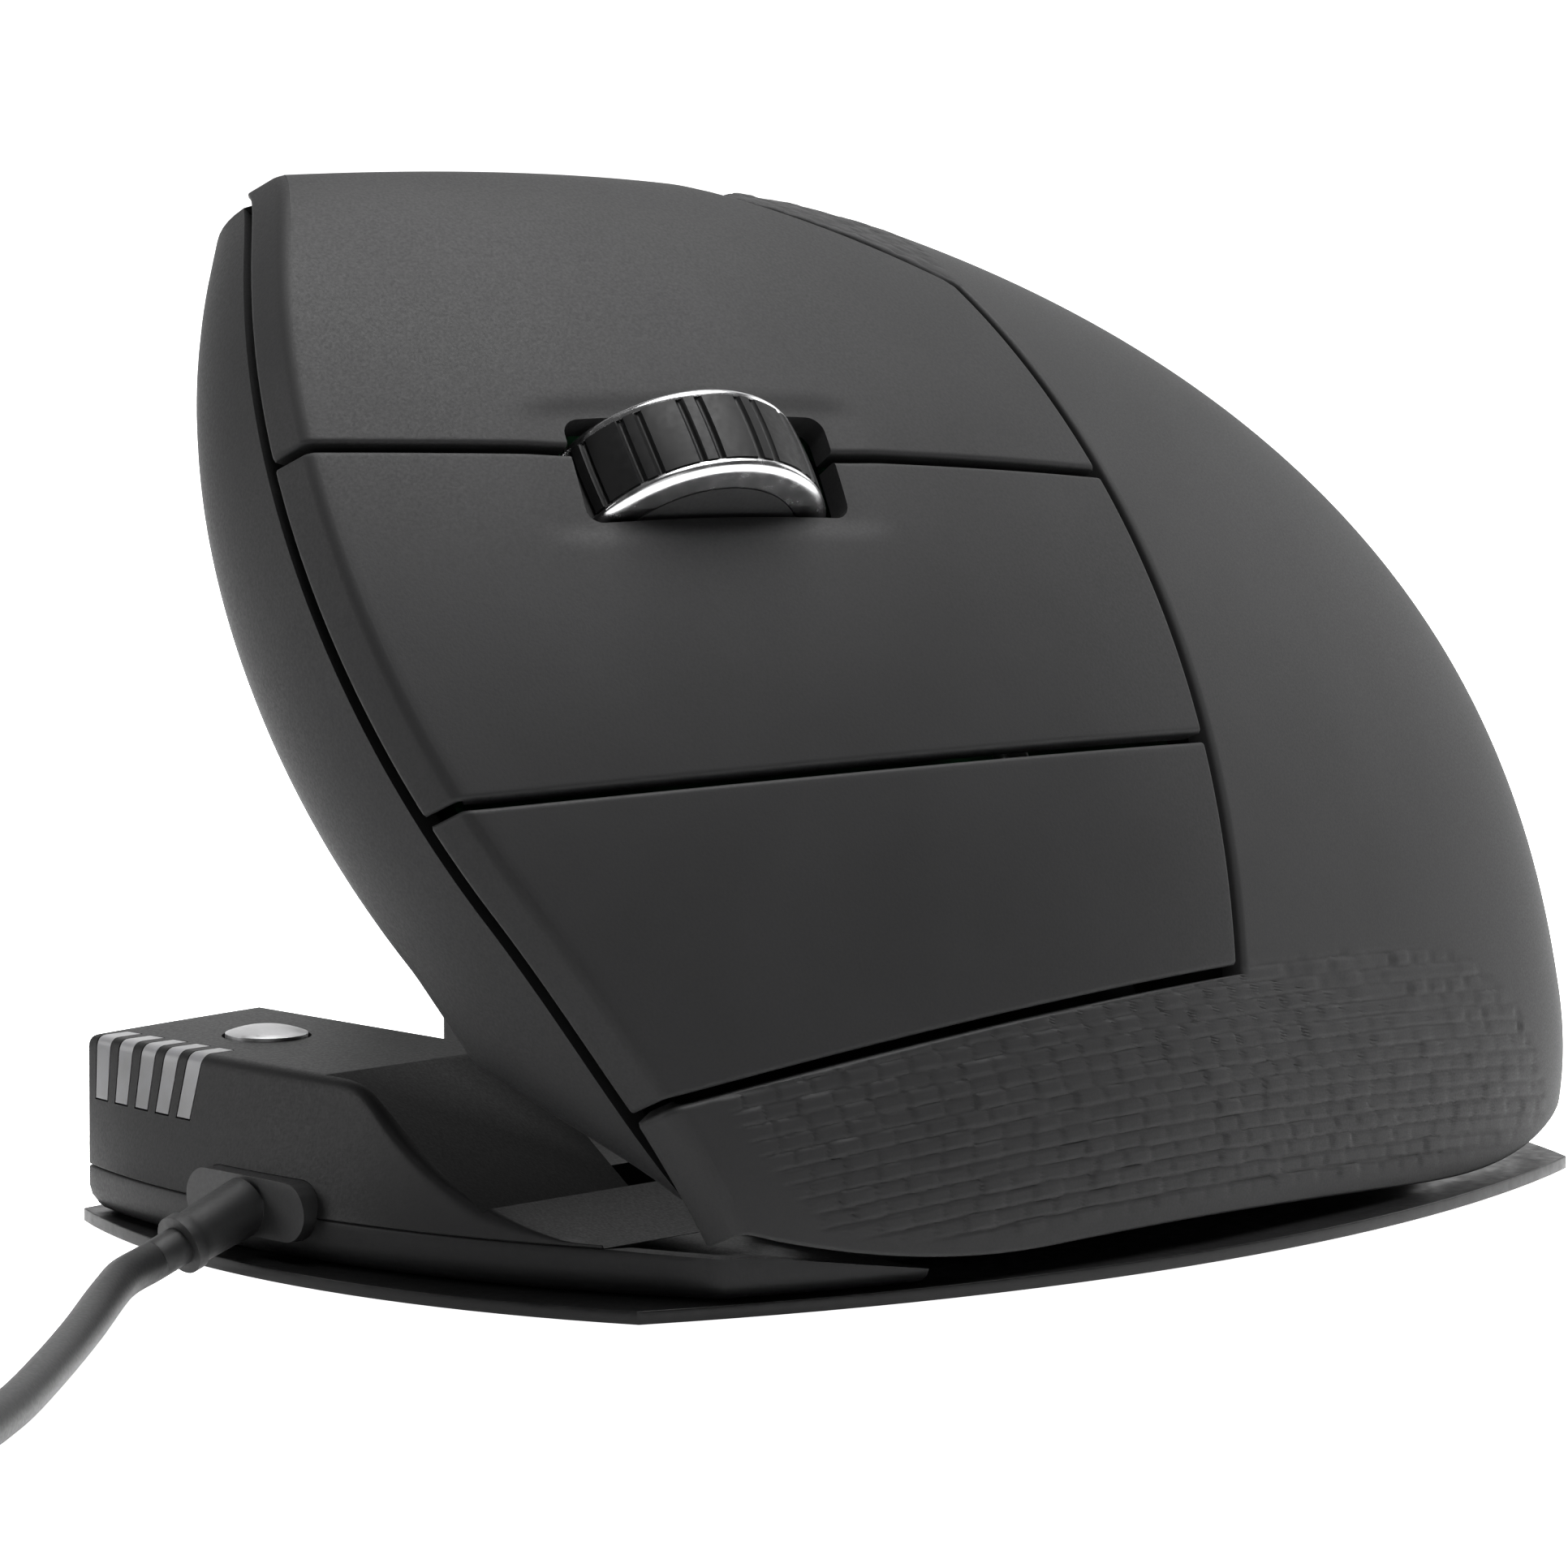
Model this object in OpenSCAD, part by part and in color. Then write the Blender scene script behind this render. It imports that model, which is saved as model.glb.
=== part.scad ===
// Left-handed vertical mouse with a tilting hand body on a flat base and an adjustable thumb rest.
// Millimetres. X to the right, Y towards the cable end, Z up, the base stands on Z = 0.
// The hand body is drawn in its own face frame: [t, y, n] = up the face, forward, out of the face.

/* [Hand body] */
// Angle of the hand body's back plane above the table at rest
face_tilt = 65; // [64:0.5:65]
// Wall of the palm shell and of the back shell
shell_wall = 2; // [1.8:0.1:2.2]
// Wall of the three keys
key_wall = 1.8; // [1.6:0.1:1.9]
// Width of the seams round the keys
seam = 0.7; // [0.6:0.1:0.9]

/* [Scroll wheel] */
// Outside diameter of the tyre
wheel_d = 20; // [19:0.5:20.5]
// Width over the two bright rings
wheel_w = 7.4; // [7:0.1:7.6]

/* [Base] */
// Height of the raised front housing above the table
housing_h = 14; // [13.8:0.1:14.4]
// Diameter of the resolution button
dpi_d = 6; // [5.6:0.1:6.2]
// Diameter of the tilt hinge pin
hinge_pin_d = 4; // [3.6:0.1:4.2]

/* [Cable] */
// Outside diameter of the cable
cable_d = 2.8; // [2.6:0.1:2.9]

/* [Output] */
// Part to draw, or all of them

/* [Hidden] */
$fn = 48;

// Colours for the preview
charcoal = [0.20, 0.20, 0.21];
black = [0.07, 0.07, 0.08];
steel = [0.72, 0.72, 0.74];
green = [0.10, 0.30, 0.16];
pale = [0.62, 0.64, 0.66];

// Face frame of the hand body
face_x = -41;
face_z = 4;
crown_t = 40;
crown_radius_t = 110;
crown_y = -8;
crown_radius_y = 140;

// Outline of the hand body in the face frame, a rounded oval with a straight lower side
oval_y = 52;
oval_t = 14;
oval_back = 109;
oval_up = 74;
oval_down = 40;
oval_power = 2.25;
crest_bend = 0.002;
crest_level_y = 30;
edge_power = 2.4;
drop_rear = 18;
drop_top = 8;
// Place on the face as a share of the height from the oval's middle line to its top
function up_share(share) = oval_t + share * oval_up;

// Front end of the keys, an arc in the face frame that straightens towards its lower end
front_radius = 54.5;
front_t = 51.5;
front_y = -1.7;
body_front = front_y + front_radius;
front_low_t = 30;
front_fill = 0.013;
skirt = 3.5;
rim_drop = 4.7;
rim_gap = 0.55;

// Back of the hand body: flat in the middle, leaning out towards the top. In front of the hinge it reaches
// further down and is bevelled there, clear of the base.
back_n = -22;
back_bend_t = 30;
back_lean = 0.11;
back_round = 5;
back_cut_t = 17.5;
chin_t = 8.6;
chin_bend_t = 22.8;
chin_slope = 0.82;
function chin_share(y) = min(max((y - 22) / 8, 0), 1);
function low_end(y) = mix(back_cut_t, chin_t, chin_share(y));
function back_at(y, t) = back_n - back_lean * max(t - back_bend_t, 0)
    + chin_share(y) * chin_slope * max(chin_bend_t - t, 0);
function floor_at(y, t) = back_at(y, t) + shell_wall;
floor_n = back_n + shell_wall;

// Tilt hinge, its axis runs along Y
hinge_x = -22;
hinge_z = 8;
knuckle_r = 4;
hinge_t = (hinge_x - face_x) * cos(face_tilt) + (hinge_z - face_z) * sin(face_tilt);
hinge_n = -(hinge_x - face_x) * sin(face_tilt) + (hinge_z - face_z) * cos(face_tilt);
bracket_rear = -40;
bracket_front = 22;
bracket_len = 7.5;
washer_wall = 0.5;
barrel_rear = bracket_rear + bracket_len + washer_wall + 0.1;
barrel_front = bracket_front - bracket_len - washer_wall - 0.1;
running_gap = 0.03;

// Frame plate and board inside the hand body
frame_wall = 1.5;
frame_top = floor_n + frame_wall;
standoff = 0.5;
board_wall = 1.2;
board_low = frame_top + standoff;
board_top = board_low + board_wall;
rod_d = 2.5;
rod_y = -5;
rod_n = -9;
switch_side = 6;
switch_h = 3.5;
well_d = 3.4;
well_depth = 1.6;
stem_d = 2.6;
stem_dip = 0.3;
lever_w = 3;
lever_depth = 2.5;
lever_gap = 0.35;
press_y = body_front - 16.8;
ring_t = up_share(0.176);
middle_t = up_share(0.405);
index_t = up_share(0.7095);

// Scroll wheel frame
wheel_t = up_share(0.5676);
wheel_y = body_front - 28.9;
wheel_n = -5;
wheel_lean = 18;
wheel_turn = -12;
axle_d = 2;
ring_wall = 0.9;
hub_d = wheel_d - 5;

// Base heights
feet_h = 0.25;
cover_top = 1.2;
base_floor = 3;
parting_z = 4.5;
deck_z = 6.5;
ceiling_z = housing_h - 1.4;
board_z = 3.3;
dpi_board_z = housing_h - 7.2;
dpi_switch_z = dpi_board_z + board_wall;
dpi_x = 17.7;
dpi_y = 36.1;
bar_pitch = 2.6;
bar_w = 1.5;
bar_first = 14.9;
sensor_x = 8;
sensor_y = -2;
gland_x = 5.2;
gland_y = 48.5;
gland_z = 4.8;
boot_len = 6.5;
boot_droop = 19;
boot_lip_d = 4.3;
boot_tip_y = gland_y + boot_len * cos(boot_droop) + boot_lip_d / 2 * sin(boot_droop);

// Thumb rest
rail_y = -3;
cradle_x = 29;
cradle_z = 33;
cradle_r = 13;
cradle_wall = 2.5;
pad_r = cradle_r + cradle_wall;
cover_r = pad_r + 7.4;
thumb_axis_x = 31.5;
thumb_axis_z = 14;
thumb_pin_d = 3;
pad_rear = -30;
pad_front = 4;
key_angle = -21.5;
key_half = 13;

// Plan of the base as arcs, each with its centre and radius: two sides and the rear, then the front of the
// housing and the front of the plate below it
side_arcs = [[75, -8, 115.5], [-269.5, 4, 300], [-5, 4, 60]];
housing_arc = [7, -20.9, 69.6];
plate_arc = [2, -14, 64.5];
block_y = 45;

// Middle of the whole object without its free cable; it is moved to the origin
middle_x = (side_arcs[0][0] - side_arcs[0][2] + cradle_x + cover_r) / 2;
middle_y = (oval_y - oval_back + boot_tip_y) / 2;

// Route of the cable from the boot to the coil, which lies on the lower side of its tie
lie = cable_d / 2 + 0.1;
tie_wall = 0.5;
tie_gap = 0.15;
tie_w = 3;
coil_lie = lie + tie_wall + tie_gap;
lead_route = [[3.4, 61, lie], [-1, 66, lie], [-9, 74.5, lie], [-18, 84.5, lie], [-26, 94, lie],
    [-32, 103, lie], [-35.4, 112, coil_lie], [-35.4, 115, coil_lie], [-35.4, 118, coil_lie]];

// Coil, four layers of four turns
coil_x = -12;
coil_y = 122;
coil_pitch = 3.7;
coil_out = 23.4;
coil_turns = 4;
coil_layers = 4;
coil_steps = 24;
plug_x = 38;
plug_y = 100;
plug_z = 4.2;

// Round edge of the shells

function crown(y, t) = (crown_t * crown_t - pow(t - crown_t, 2)) / (2 * crown_radius_t)
    - pow(max(y - crown_y, 0), 2) / (2 * crown_radius_y);
function reach_y(y) = max(oval_y - y, 0) / oval_back;
function crest(y) = oval_up + crest_bend * max(y, 0) * (y - crest_level_y);
function reach_t(y, t) = t > oval_t ? (t - oval_t) / crest(y) : (oval_t - t) / oval_down;
function oval(y, t) = pow(pow(reach_y(y), oval_power) + pow(reach_t(y, t), oval_power), 1 / oval_power);
function side_share(y, t) = t > oval_t ? pow(sin(atan2(reach_t(y, t), reach_y(y) + 0.000001)), 2) : 0;
function edge_drop(y, t) = drop_rear + (drop_top - drop_rear) * side_share(y, t);
function edge_curve(r) = 1 - pow(max(1 - pow(min(r, 1), edge_power), 0), 1 / edge_power);
function face(y, t) = crown(y, t) - edge_drop(y, t) * edge_curve(oval(y, t));
function on_face(y, t) = [t, y, face(y, t)];
function unit(v) = v / norm(v);
function face_normal(y, t, h = 0.25) = unit([(face(y, t - h) - face(y, t + h)) / (2 * h),
    (face(y - h, t) - face(y + h, t)) / (2 * h), 1]);
function under_face(y, t, depth) = on_face(y, t) - depth * face_normal(y, t);
function mix(a, b, k) = a + (b - a) * k;

// Seams and edges of the hand body as y or t in the face frame

function front_edge(t) = front_y + sqrt(front_radius * front_radius - pow(t - front_t, 2))
    + front_fill * pow(max(front_low_t - t, 0), 2);
function rear_seam(t) = -11 + pow(t - 44, 2) / 310 + 1.3 * max(t - up_share(0.777), 0);
function index_seam(y) = up_share(0.5432) + 0.085 * (y + 11) + 0.00135 * pow(y + 11, 2);
function ring_seam(y) = 33.2 + 0.00105 * pow(y + 11, 2);
function grip_seam(y) = 16.4 - 0.034 * (y + 8.5);
function bottom_edge(y) = 0.2 + pow(max(y - 12, 0), 2) / 125 + pow(max(-24 - y, 0), 3) / 4800;
function oval_top(y, share) = oval_t
    + crest(y) * pow(pow(share, oval_power) - pow(reach_y(y), oval_power), 1 / oval_power);
function oval_point(a) = let (y = oval_y - oval_back * pow(cos(a), 2 / oval_power))
    [y, a > 0 ? oval_t + crest(y) * pow(sin(a), 2 / oval_power)
        : oval_t - oval_down * pow(-sin(a), 2 / oval_power)];

// Closed sheet between an outer and an inner grid of points

module sheet(outer, inner) {
    rows = len(outer);
    cols = len(outer[0]);
    half = rows * cols;
    last_row = rows - 1;
    last_col = cols - 1;
    function at(i, j) = i * cols + j;
    function quad(a, b, c, d) = [[a, b, c], [a, c, d]];
    points = [for (grid = [outer, inner], line = grid, point = line) point];
    skin = [for (i = [0:last_row - 1], j = [0:last_col - 1])
        each quad(at(i, j), at(i + 1, j), at(i + 1, j + 1), at(i, j + 1))];
    lining = [for (i = [0:last_row - 1], j = [0:last_col - 1])
        each quad(half + at(i, j), half + at(i, j + 1), half + at(i + 1, j + 1), half + at(i + 1, j))];
    ends = [for (j = [0:last_col - 1]) each concat(
        quad(at(0, j), at(0, j + 1), half + at(0, j + 1), half + at(0, j)),
        quad(at(last_row, j + 1), at(last_row, j), half + at(last_row, j), half + at(last_row, j + 1)))];
    sides = [for (i = [0:last_row - 1]) each concat(
        quad(at(i + 1, 0), at(i, 0), half + at(i, 0), half + at(i + 1, 0)),
        quad(at(i, last_col), at(i + 1, last_col), half + at(i + 1, last_col), half + at(i, last_col)))];
    polyhedron(points, concat(skin, lining, ends, sides));
}

// Closed skin over a stack of equal loops, each end closed with a fan

module loft(loops, start, finish) {
    count = len(loops);
    size = len(loops[0]);
    points = concat([for (loop = loops, point = loop) point], [start, finish]);
    function at(i, j) = i * size + j % size;
    bands = [for (i = [0:count - 2], j = [0:size - 1]) each [
        [at(i, j), at(i + 1, j + 1), at(i + 1, j)], [at(i, j), at(i, j + 1), at(i + 1, j + 1)]]];
    first_fan = [for (j = [0:size - 1]) [count * size, at(0, j + 1), at(0, j)]];
    last_fan = [for (j = [0:size - 1]) [count * size + 1, at(count - 1, j), at(count - 1, j + 1)]];
    polyhedron(points, concat(bands, first_fan, last_fan));
}

// Round tube along a path of points

function path_way(path, i) = unit(path[min(i + 1, len(path) - 1)] - path[max(i - 1, 0)]);
function tube_loop(centre, way, r, sides) = let (side = unit(cross(way, [0, 0, 1])), up = cross(side, way))
    [for (k = [0:sides - 1]) centre + r * (cos(360 * k / sides) * side + sin(360 * k / sides) * up)];
module tube(path, r, sides) {
    last = len(path) - 1;
    loft([for (i = [0:last]) tube_loop(path[i], path_way(path, i), r, sides)], path[0], path[last]);
}

// Smooth curve through route points, the same number of steps on every stretch

function bend(a, b, c, d, k) = 0.5 * (2 * b + (c - a) * k + (2 * a - 5 * b + 4 * c - d) * k * k
    + (3 * b - a - 3 * c + d) * k * k * k);
function smooth(route, steps) = let (last = len(route) - 1) concat(
    [for (i = [0:last - 1], s = [0:steps - 1])
        bend(route[max(i - 1, 0)], route[i], route[i + 1], route[min(i + 2, last)], s / steps)],
    [route[last]]);

// Frames

module in_base() {
    translate([-middle_x, -middle_y, 0]) children();
}
module in_face() {
    in_base() translate([face_x, 0, face_z]) rotate([0, -face_tilt, 0]) children();
}
module in_wheel() {
    in_face() translate([wheel_t, wheel_y, wheel_n]) rotate([0, wheel_lean, wheel_turn]) children();
}
module along_y(x, z, from, to, d) {
    translate([x, to, z]) rotate([90, 0, 0]) cylinder(d = d, h = to - from);
}
module box(x, y, z) {
    translate([x[0], y[0], z[0]]) cube([x[1] - x[0], y[1] - y[0], z[1] - z[0]]);
}

// Base

// Upright block over the plan of the base
module base_block(low, high, inset = 0, front = housing_arc) {
    intersection_for (arc = concat([front], side_arcs)) translate([arc[0], arc[1], low])
        cylinder(r = arc[2] - inset, h = high - low, $fn = 180);
}

// The front block: upright over the plan at the parting line, its top edge straight across the front
block_steps = 180;
function arc_reach(arc, a, inset) = let (along = arc[0] * cos(a) + arc[1] * sin(a))
    along + sqrt(along * along - arc[0] * arc[0] - arc[1] * arc[1] + pow(arc[2] - inset, 2));
function plan_reach(a, inset) = min([for (arc = concat([housing_arc], side_arcs)) arc_reach(arc, a, inset)]);
function top_reach(a, inset) = min(plan_reach(a, inset), block_y / max(sin(a), 0.01));
function block_loop(share, z, inset = 0.6) = [for (k = [0:block_steps - 1]) let (a = 360 * k / block_steps,
    r = mix(plan_reach(a, inset), top_reach(a, inset), share)) [r * cos(a), r * sin(a), z]];

// Height of the hollow slope on the left of the front block
slope_x = -26;
slope_low = 4.4;
slope_flat = 55;
function slope_z(x) = slope_low + pow(x - slope_x, 2) / slope_flat;
slope_top_x = slope_x + sqrt(slope_flat * (housing_h - slope_low));

feet_spots = [[-28, 22], [20, 32], [-26, -32], [16, -34]];
screw_spots = [[-12, 38], [24, 20], [-14, -42], [22, -24]];

module bottom_cover() {
    color(black) in_base() difference() {
        base_block(feet_h, cover_top, 0, plate_arc);
        translate([sensor_x, sensor_y, 0]) cylinder(d = 9, h = 5);
        for (spot = screw_spots) translate([spot[0], spot[1], 0]) cylinder(d = 5.2, h = 5);
    }
}

module glide_feet() {
    color(steel) in_base() for (spot = feet_spots)
        translate([spot[0], spot[1], 0]) cylinder(d = 12, h = feet_h);
}

// Rounded slot of the cable gland, used for the gland and for its opening
module gland_slot(from, to, grow = 0) {
    translate([0, to, 0]) rotate([90, 0, 0]) linear_extrude(to - from) {
        for (x = [gland_x - 4.3, gland_x + 4.3]) translate([x, gland_z]) circle(d = 4.2 + 2 * grow);
        translate([gland_x - 4.3, gland_z - 2.1 - grow]) square([8.6, 4.2 + 2 * grow]);
    }
}

module lower_housing() {
    color(charcoal) in_base() difference() {
        union() {
            difference() {
                base_block(cover_top, parting_z, 0.6);
                base_block(base_floor, parting_z + 1, 2.6);
                // on the left the wall runs out below the lower edge of the hand body
                box([-60, -12], [-80, 22], [base_floor, 20]);
                difference() {
                    box([-60, -12], [-80, 22], [0, 20]);
                    base_block(0, 20, 9.5);
                }
                translate([-60, 0, 0]) rotate([90, 0, 90]) linear_extrude(48)
                    polygon([[21, 2.2], [33, 4], [41, parting_z], [41, 20], [21, 20]]);
            }
            for (spot = screw_spots) translate([spot[0], spot[1], cover_top])
                cylinder(d = 6, h = base_floor + 0.2 - cover_top);
            for (x = [-1, 21], y = [-26, 20]) translate([x, y, cover_top])
                cylinder(d = 4, h = board_z - cover_top);
            for (x = [dpi_x - 9, dpi_x + 5]) translate([x, dpi_y, cover_top])
                cylinder(d = 4, h = dpi_board_z - cover_top);
        }
        translate([sensor_x, sensor_y, 0]) cylinder(d = 11, h = 9);
        for (spot = screw_spots) translate([spot[0], spot[1], 0]) cylinder(d = 2.4, h = 9);
        gland_slot(40, 60, 0.05);
    }
}

// Outside of the upper housing: the front block with its slope to the left, and a low deck behind it
module upper_outer() {
    slope = [for (k = [0:12]) let (x = mix(slope_x, slope_top_x, k / 12)) [x, slope_z(x)]];
    intersection() {
        loft([block_loop(1, housing_h), block_loop(0, parting_z)], [0, 0, housing_h], [0, 0, parting_z]);
        translate([-40, 0, 0]) rotate([90, 0, 90]) linear_extrude(80)
            polygon([[-60, 0], [60, 0], [60, 20], [27, 20], [27, deck_z], [-60, deck_z]]);
        translate([0, 60, 0]) rotate([90, 0, 0]) linear_extrude(120)
            polygon(concat([[slope_x, 0]], slope, [[40, housing_h], [40, 0]]));
    }
}

module light_slots(grow = 0) {
    for (k = [0:4]) translate([bar_first + k * bar_pitch, 0, 0])
        box([-bar_w / 2 - grow, bar_w / 2 + grow], [42.2 - grow, 60], [9.5 - grow, 20]);
}

// Bar inside the front wall that joins the five light bars
module light_link(grow = 0) {
    box([bar_first - 0.7 - grow, bar_first + 4 * bar_pitch + 0.7 + grow], [41.3 - grow, 42.4 + grow],
        [9.8 - grow, 11.3 + grow]);
}

module upper_housing() {
    color(charcoal) in_base() difference() {
        upper_outer();
        intersection() {
            base_block(0, ceiling_z, 2.6);
            translate([-40, 0, 0]) rotate([90, 0, 90]) linear_extrude(80)
                polygon([[29, 0], [46, 0], [45.4, parting_z], [42, ceiling_z], [29, ceiling_z]]);
            translate([0, 60, 0]) rotate([90, 0, 0]) linear_extrude(120)
                polygon([[-5, 0], [-5, 9.6], [1, ceiling_z], [40, ceiling_z], [40, 0]]);
        }
        intersection() {
            base_block(0, 5.2, 2.6);
            box([-6, 40], [-70, 30], [0, 9]);
        }
        // room for the hinge and for the hand body when it lies back
        box([-60, -8], [-80, 27], [0, 20]);
        for (lean = [15, 22, 30]) translate([hinge_x, 0, hinge_z]) rotate([0, lean - face_tilt, 0])
            box([4.8, 90], [-80, block_y - 0.6], [-8.4, 40]);
        light_slots(0.05);
        light_link(0.05);
        translate([dpi_x, dpi_y, dpi_switch_z]) cylinder(d = dpi_d + 0.4, h = 10);
        gland_slot(40, 60, 0.05);
    }
}

module light_guide() {
    color(pale) in_base() {
        intersection() {
            upper_outer();
            light_slots();
        }
        light_link();
    }
}

module sensor_lens() {
    color(pale) in_base() translate([sensor_x, sensor_y, 0.8]) {
        cylinder(d = 8.9, h = 0.8);
        translate([0, 0, 0.8]) cylinder(d = 6, h = 0.6);
    }
}

module sensor_chip() {
    color(black) in_base()
        box([sensor_x - 3.6, sensor_x + 3.6], [sensor_y - 3.4, sensor_y + 3.4], [board_z - 1, board_z]);
}

module base_board() {
    color(green) in_base() box([-4, 24], [-30, 24], [board_z, board_z + board_wall]);
}

module dpi_board() {
    color(green) in_base() box([dpi_x - 11.5, dpi_x + 7.5], [31, 40.8], [dpi_board_z, dpi_switch_z]);
}

// Small push switch: a square case with a round well for the stem that presses it
module push_switch() {
    difference() {
        translate([-switch_side / 2, -switch_side / 2, 0]) cube([switch_side, switch_side, switch_h]);
        translate([0, 0, switch_h - well_depth]) cylinder(d = well_d, h = well_depth + 1);
    }
}

module dpi_switch() {
    color(black) in_base() translate([dpi_x, dpi_y, dpi_switch_z]) push_switch();
}

module dpi_button() {
    color(steel) in_base() translate([dpi_x, dpi_y, 0]) {
        translate([0, 0, housing_h - 2.8]) cylinder(d = stem_d, h = 1);
        translate([0, 0, housing_h - 1.9]) cylinder(d = dpi_d + 1.4, h = 0.4);
        translate([0, 0, housing_h - 1.9]) cylinder(d = dpi_d, h = 2.1);
        intersection() {
            translate([0, 0, housing_h - 7.2]) sphere(r = 8);
            translate([0, 0, housing_h]) cylinder(d = dpi_d, h = 2);
        }
    }
}

module base_screws() {
    color(steel) in_base() for (spot = screw_spots) translate([spot[0], spot[1], 0]) {
        translate([0, 0, feet_h + 0.1]) cylinder(d = 5, h = cover_top - feet_h - 0.1);
        translate([0, 0, feet_h + 0.1]) cylinder(d = 2.4, h = 2.5);
    }
}

module hinge_bracket() {
    color(charcoal) in_base() difference() {
        union() {
            box([hinge_x - 5, hinge_x + 5], [bracket_rear, bracket_front], [base_floor, base_floor + 0.6]);
            for (y = [bracket_rear, bracket_front - bracket_len]) {
                box([hinge_x - knuckle_r, hinge_x + knuckle_r], [y, y + bracket_len], [base_floor, hinge_z]);
                along_y(hinge_x, hinge_z, y, y + bracket_len, 2 * knuckle_r);
            }
        }
        along_y(hinge_x, hinge_z, -60, 60, hinge_pin_d);
    }
}

module hinge_pin() {
    color(steel) in_base() {
        along_y(hinge_x, hinge_z, bracket_rear - 1, bracket_front + 1, hinge_pin_d);
        along_y(hinge_x, hinge_z, bracket_rear - 1, bracket_rear, 6);
        along_y(hinge_x, hinge_z, bracket_front, bracket_front + 1, 6);
    }
}

module hinge_washers() {
    spots = [bracket_rear + bracket_len, bracket_front - bracket_len - washer_wall];
    color(black) in_base() for (y = spots) difference() {
        along_y(hinge_x, hinge_z, y, y + washer_wall, 7.6);
        along_y(hinge_x, hinge_z, y - 1, y + 2, hinge_pin_d + 2 * running_gap);
    }
}

// Cable

module cable_grommet() {
    color(black) in_base() {
        gland_slot(44.6, 48.7);
        translate([gland_x, gland_y, gland_z]) rotate([-90 - boot_droop, 0, 0]) {
            cylinder(r1 = 2.1, r2 = 1.9, h = boot_len);
            translate([0, 0, boot_len - 0.9]) cylinder(d = boot_lip_d, h = 0.9);
        }
    }
}

boot_end = [gland_x, gland_y + boot_len * cos(boot_droop), gland_z - boot_len * sin(boot_droop)];
boot_way = [0, cos(boot_droop), -sin(boot_droop)];
lead_start = [for (k = [0, 0.5, 1]) boot_end + k * cable_d * boot_way];
lead_path = smooth(concat(lead_start, lead_route), 3);

module cable_lead() {
    color(black) in_base() tube(lead_path, cable_d / 2, 8);
}

// One turn of the coil counts 1; odd layers run out again, half a turn at each end climbs to the next layer
layer_span = coil_turns + 0.5;
function coil_layer(s) = min(floor(s / layer_span), coil_layers - 1);
function coil_share(s) = s - layer_span * coil_layer(s);
function coil_in(s) = min(coil_share(s), coil_turns);
function coil_r(s) = coil_layer(s) % 2 == 0 ? coil_out - coil_pitch * coil_in(s)
    : coil_out - coil_pitch * (coil_turns - coil_in(s));
function coil_climb(s) = let (k = 2 * max(coil_share(s) - coil_turns, 0)) k * k * (3 - 2 * k);
function coil_point(s) = [coil_x - coil_r(s) * cos(360 * s), coil_y + coil_r(s) * sin(360 * s),
    coil_lie + coil_pitch * (coil_layer(s) + coil_climb(s))];
coil_end = coil_layers * layer_span - 0.5;
coil_rings = [for (k = [0:coil_end * coil_steps]) coil_point(k / coil_steps)];

coil_top = coil_point(coil_end);
tail_route = [coil_top, coil_top + [0.4, -8, -1.5], [16, 105, 9], [23, 101, 6], [plug_x - 6, plug_y, plug_z],
    [plug_x - 3, plug_y, plug_z], [plug_x, plug_y, plug_z]];
tail_path = smooth(tail_route, 4);
coil_start = [coil_point(0) - [0, 4, 0], coil_point(0) - [0, 1.2, 0]];
coil_path = concat(coil_start, coil_rings, [for (k = [1:len(tail_path) - 1]) tail_path[k]]);

// Length of a path, and least gap between turns of the coil that lie over half a turn apart
function length(path) = sum_of([for (k = [1:len(path) - 1]) norm(path[k] - path[k - 1])]);
function sum_of(values) = values * [for (v = values) 1];
function least_gap(rings) = min([for (i = [0:len(rings) - 1], j = [i + coil_steps / 2 + 1:1:len(rings) - 1])
    norm(rings[i] - rings[j])]) - cable_d;

module cable_coil() {
    echo(coil_least_gap = least_gap(coil_rings), cable_length = length(lead_path) + length(coil_path));
    color(black) in_base() tube(coil_path, cable_d / 2, 6);
}

// Flat band round all turns on the far side of the coil
module cable_tie() {
    inner_r = coil_out - coil_turns * coil_pitch;
    near = sqrt(inner_r * inner_r - tie_w * tie_w / 4) - cable_d / 2 - tie_gap;
    far = coil_out + cable_d / 2 + tie_gap;
    low = coil_lie - cable_d / 2 - tie_gap;
    high = coil_lie + (coil_layers - 1) * coil_pitch + cable_d / 2 + tie_gap;
    color(black) in_base() translate([coil_x, coil_y, 0]) difference() {
        box([-tie_w / 2, tie_w / 2], [near - tie_wall, far + tie_wall], [low - tie_wall, high + tie_wall]);
        box([-tie_w, tie_w], [near, far], [low, high]);
    }
}

module plug_body() {
    color(black) in_base() translate([plug_x, plug_y, plug_z]) rotate([0, 90, 0]) {
        cylinder(d1 = 4.4, d2 = 6.4, h = 9);
        translate([-4, -8, 8]) cube([8, 16, 24]);
    }
}

module plug_shell() {
    color(steel) in_base() translate([plug_x + 32, plug_y, plug_z]) difference() {
        translate([0, -6, -2.25]) cube([12, 12, 4.5]);
        translate([3, -5.6, -1.85]) cube([12, 11.2, 3.7]);
    }
}

// Hand body

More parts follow.
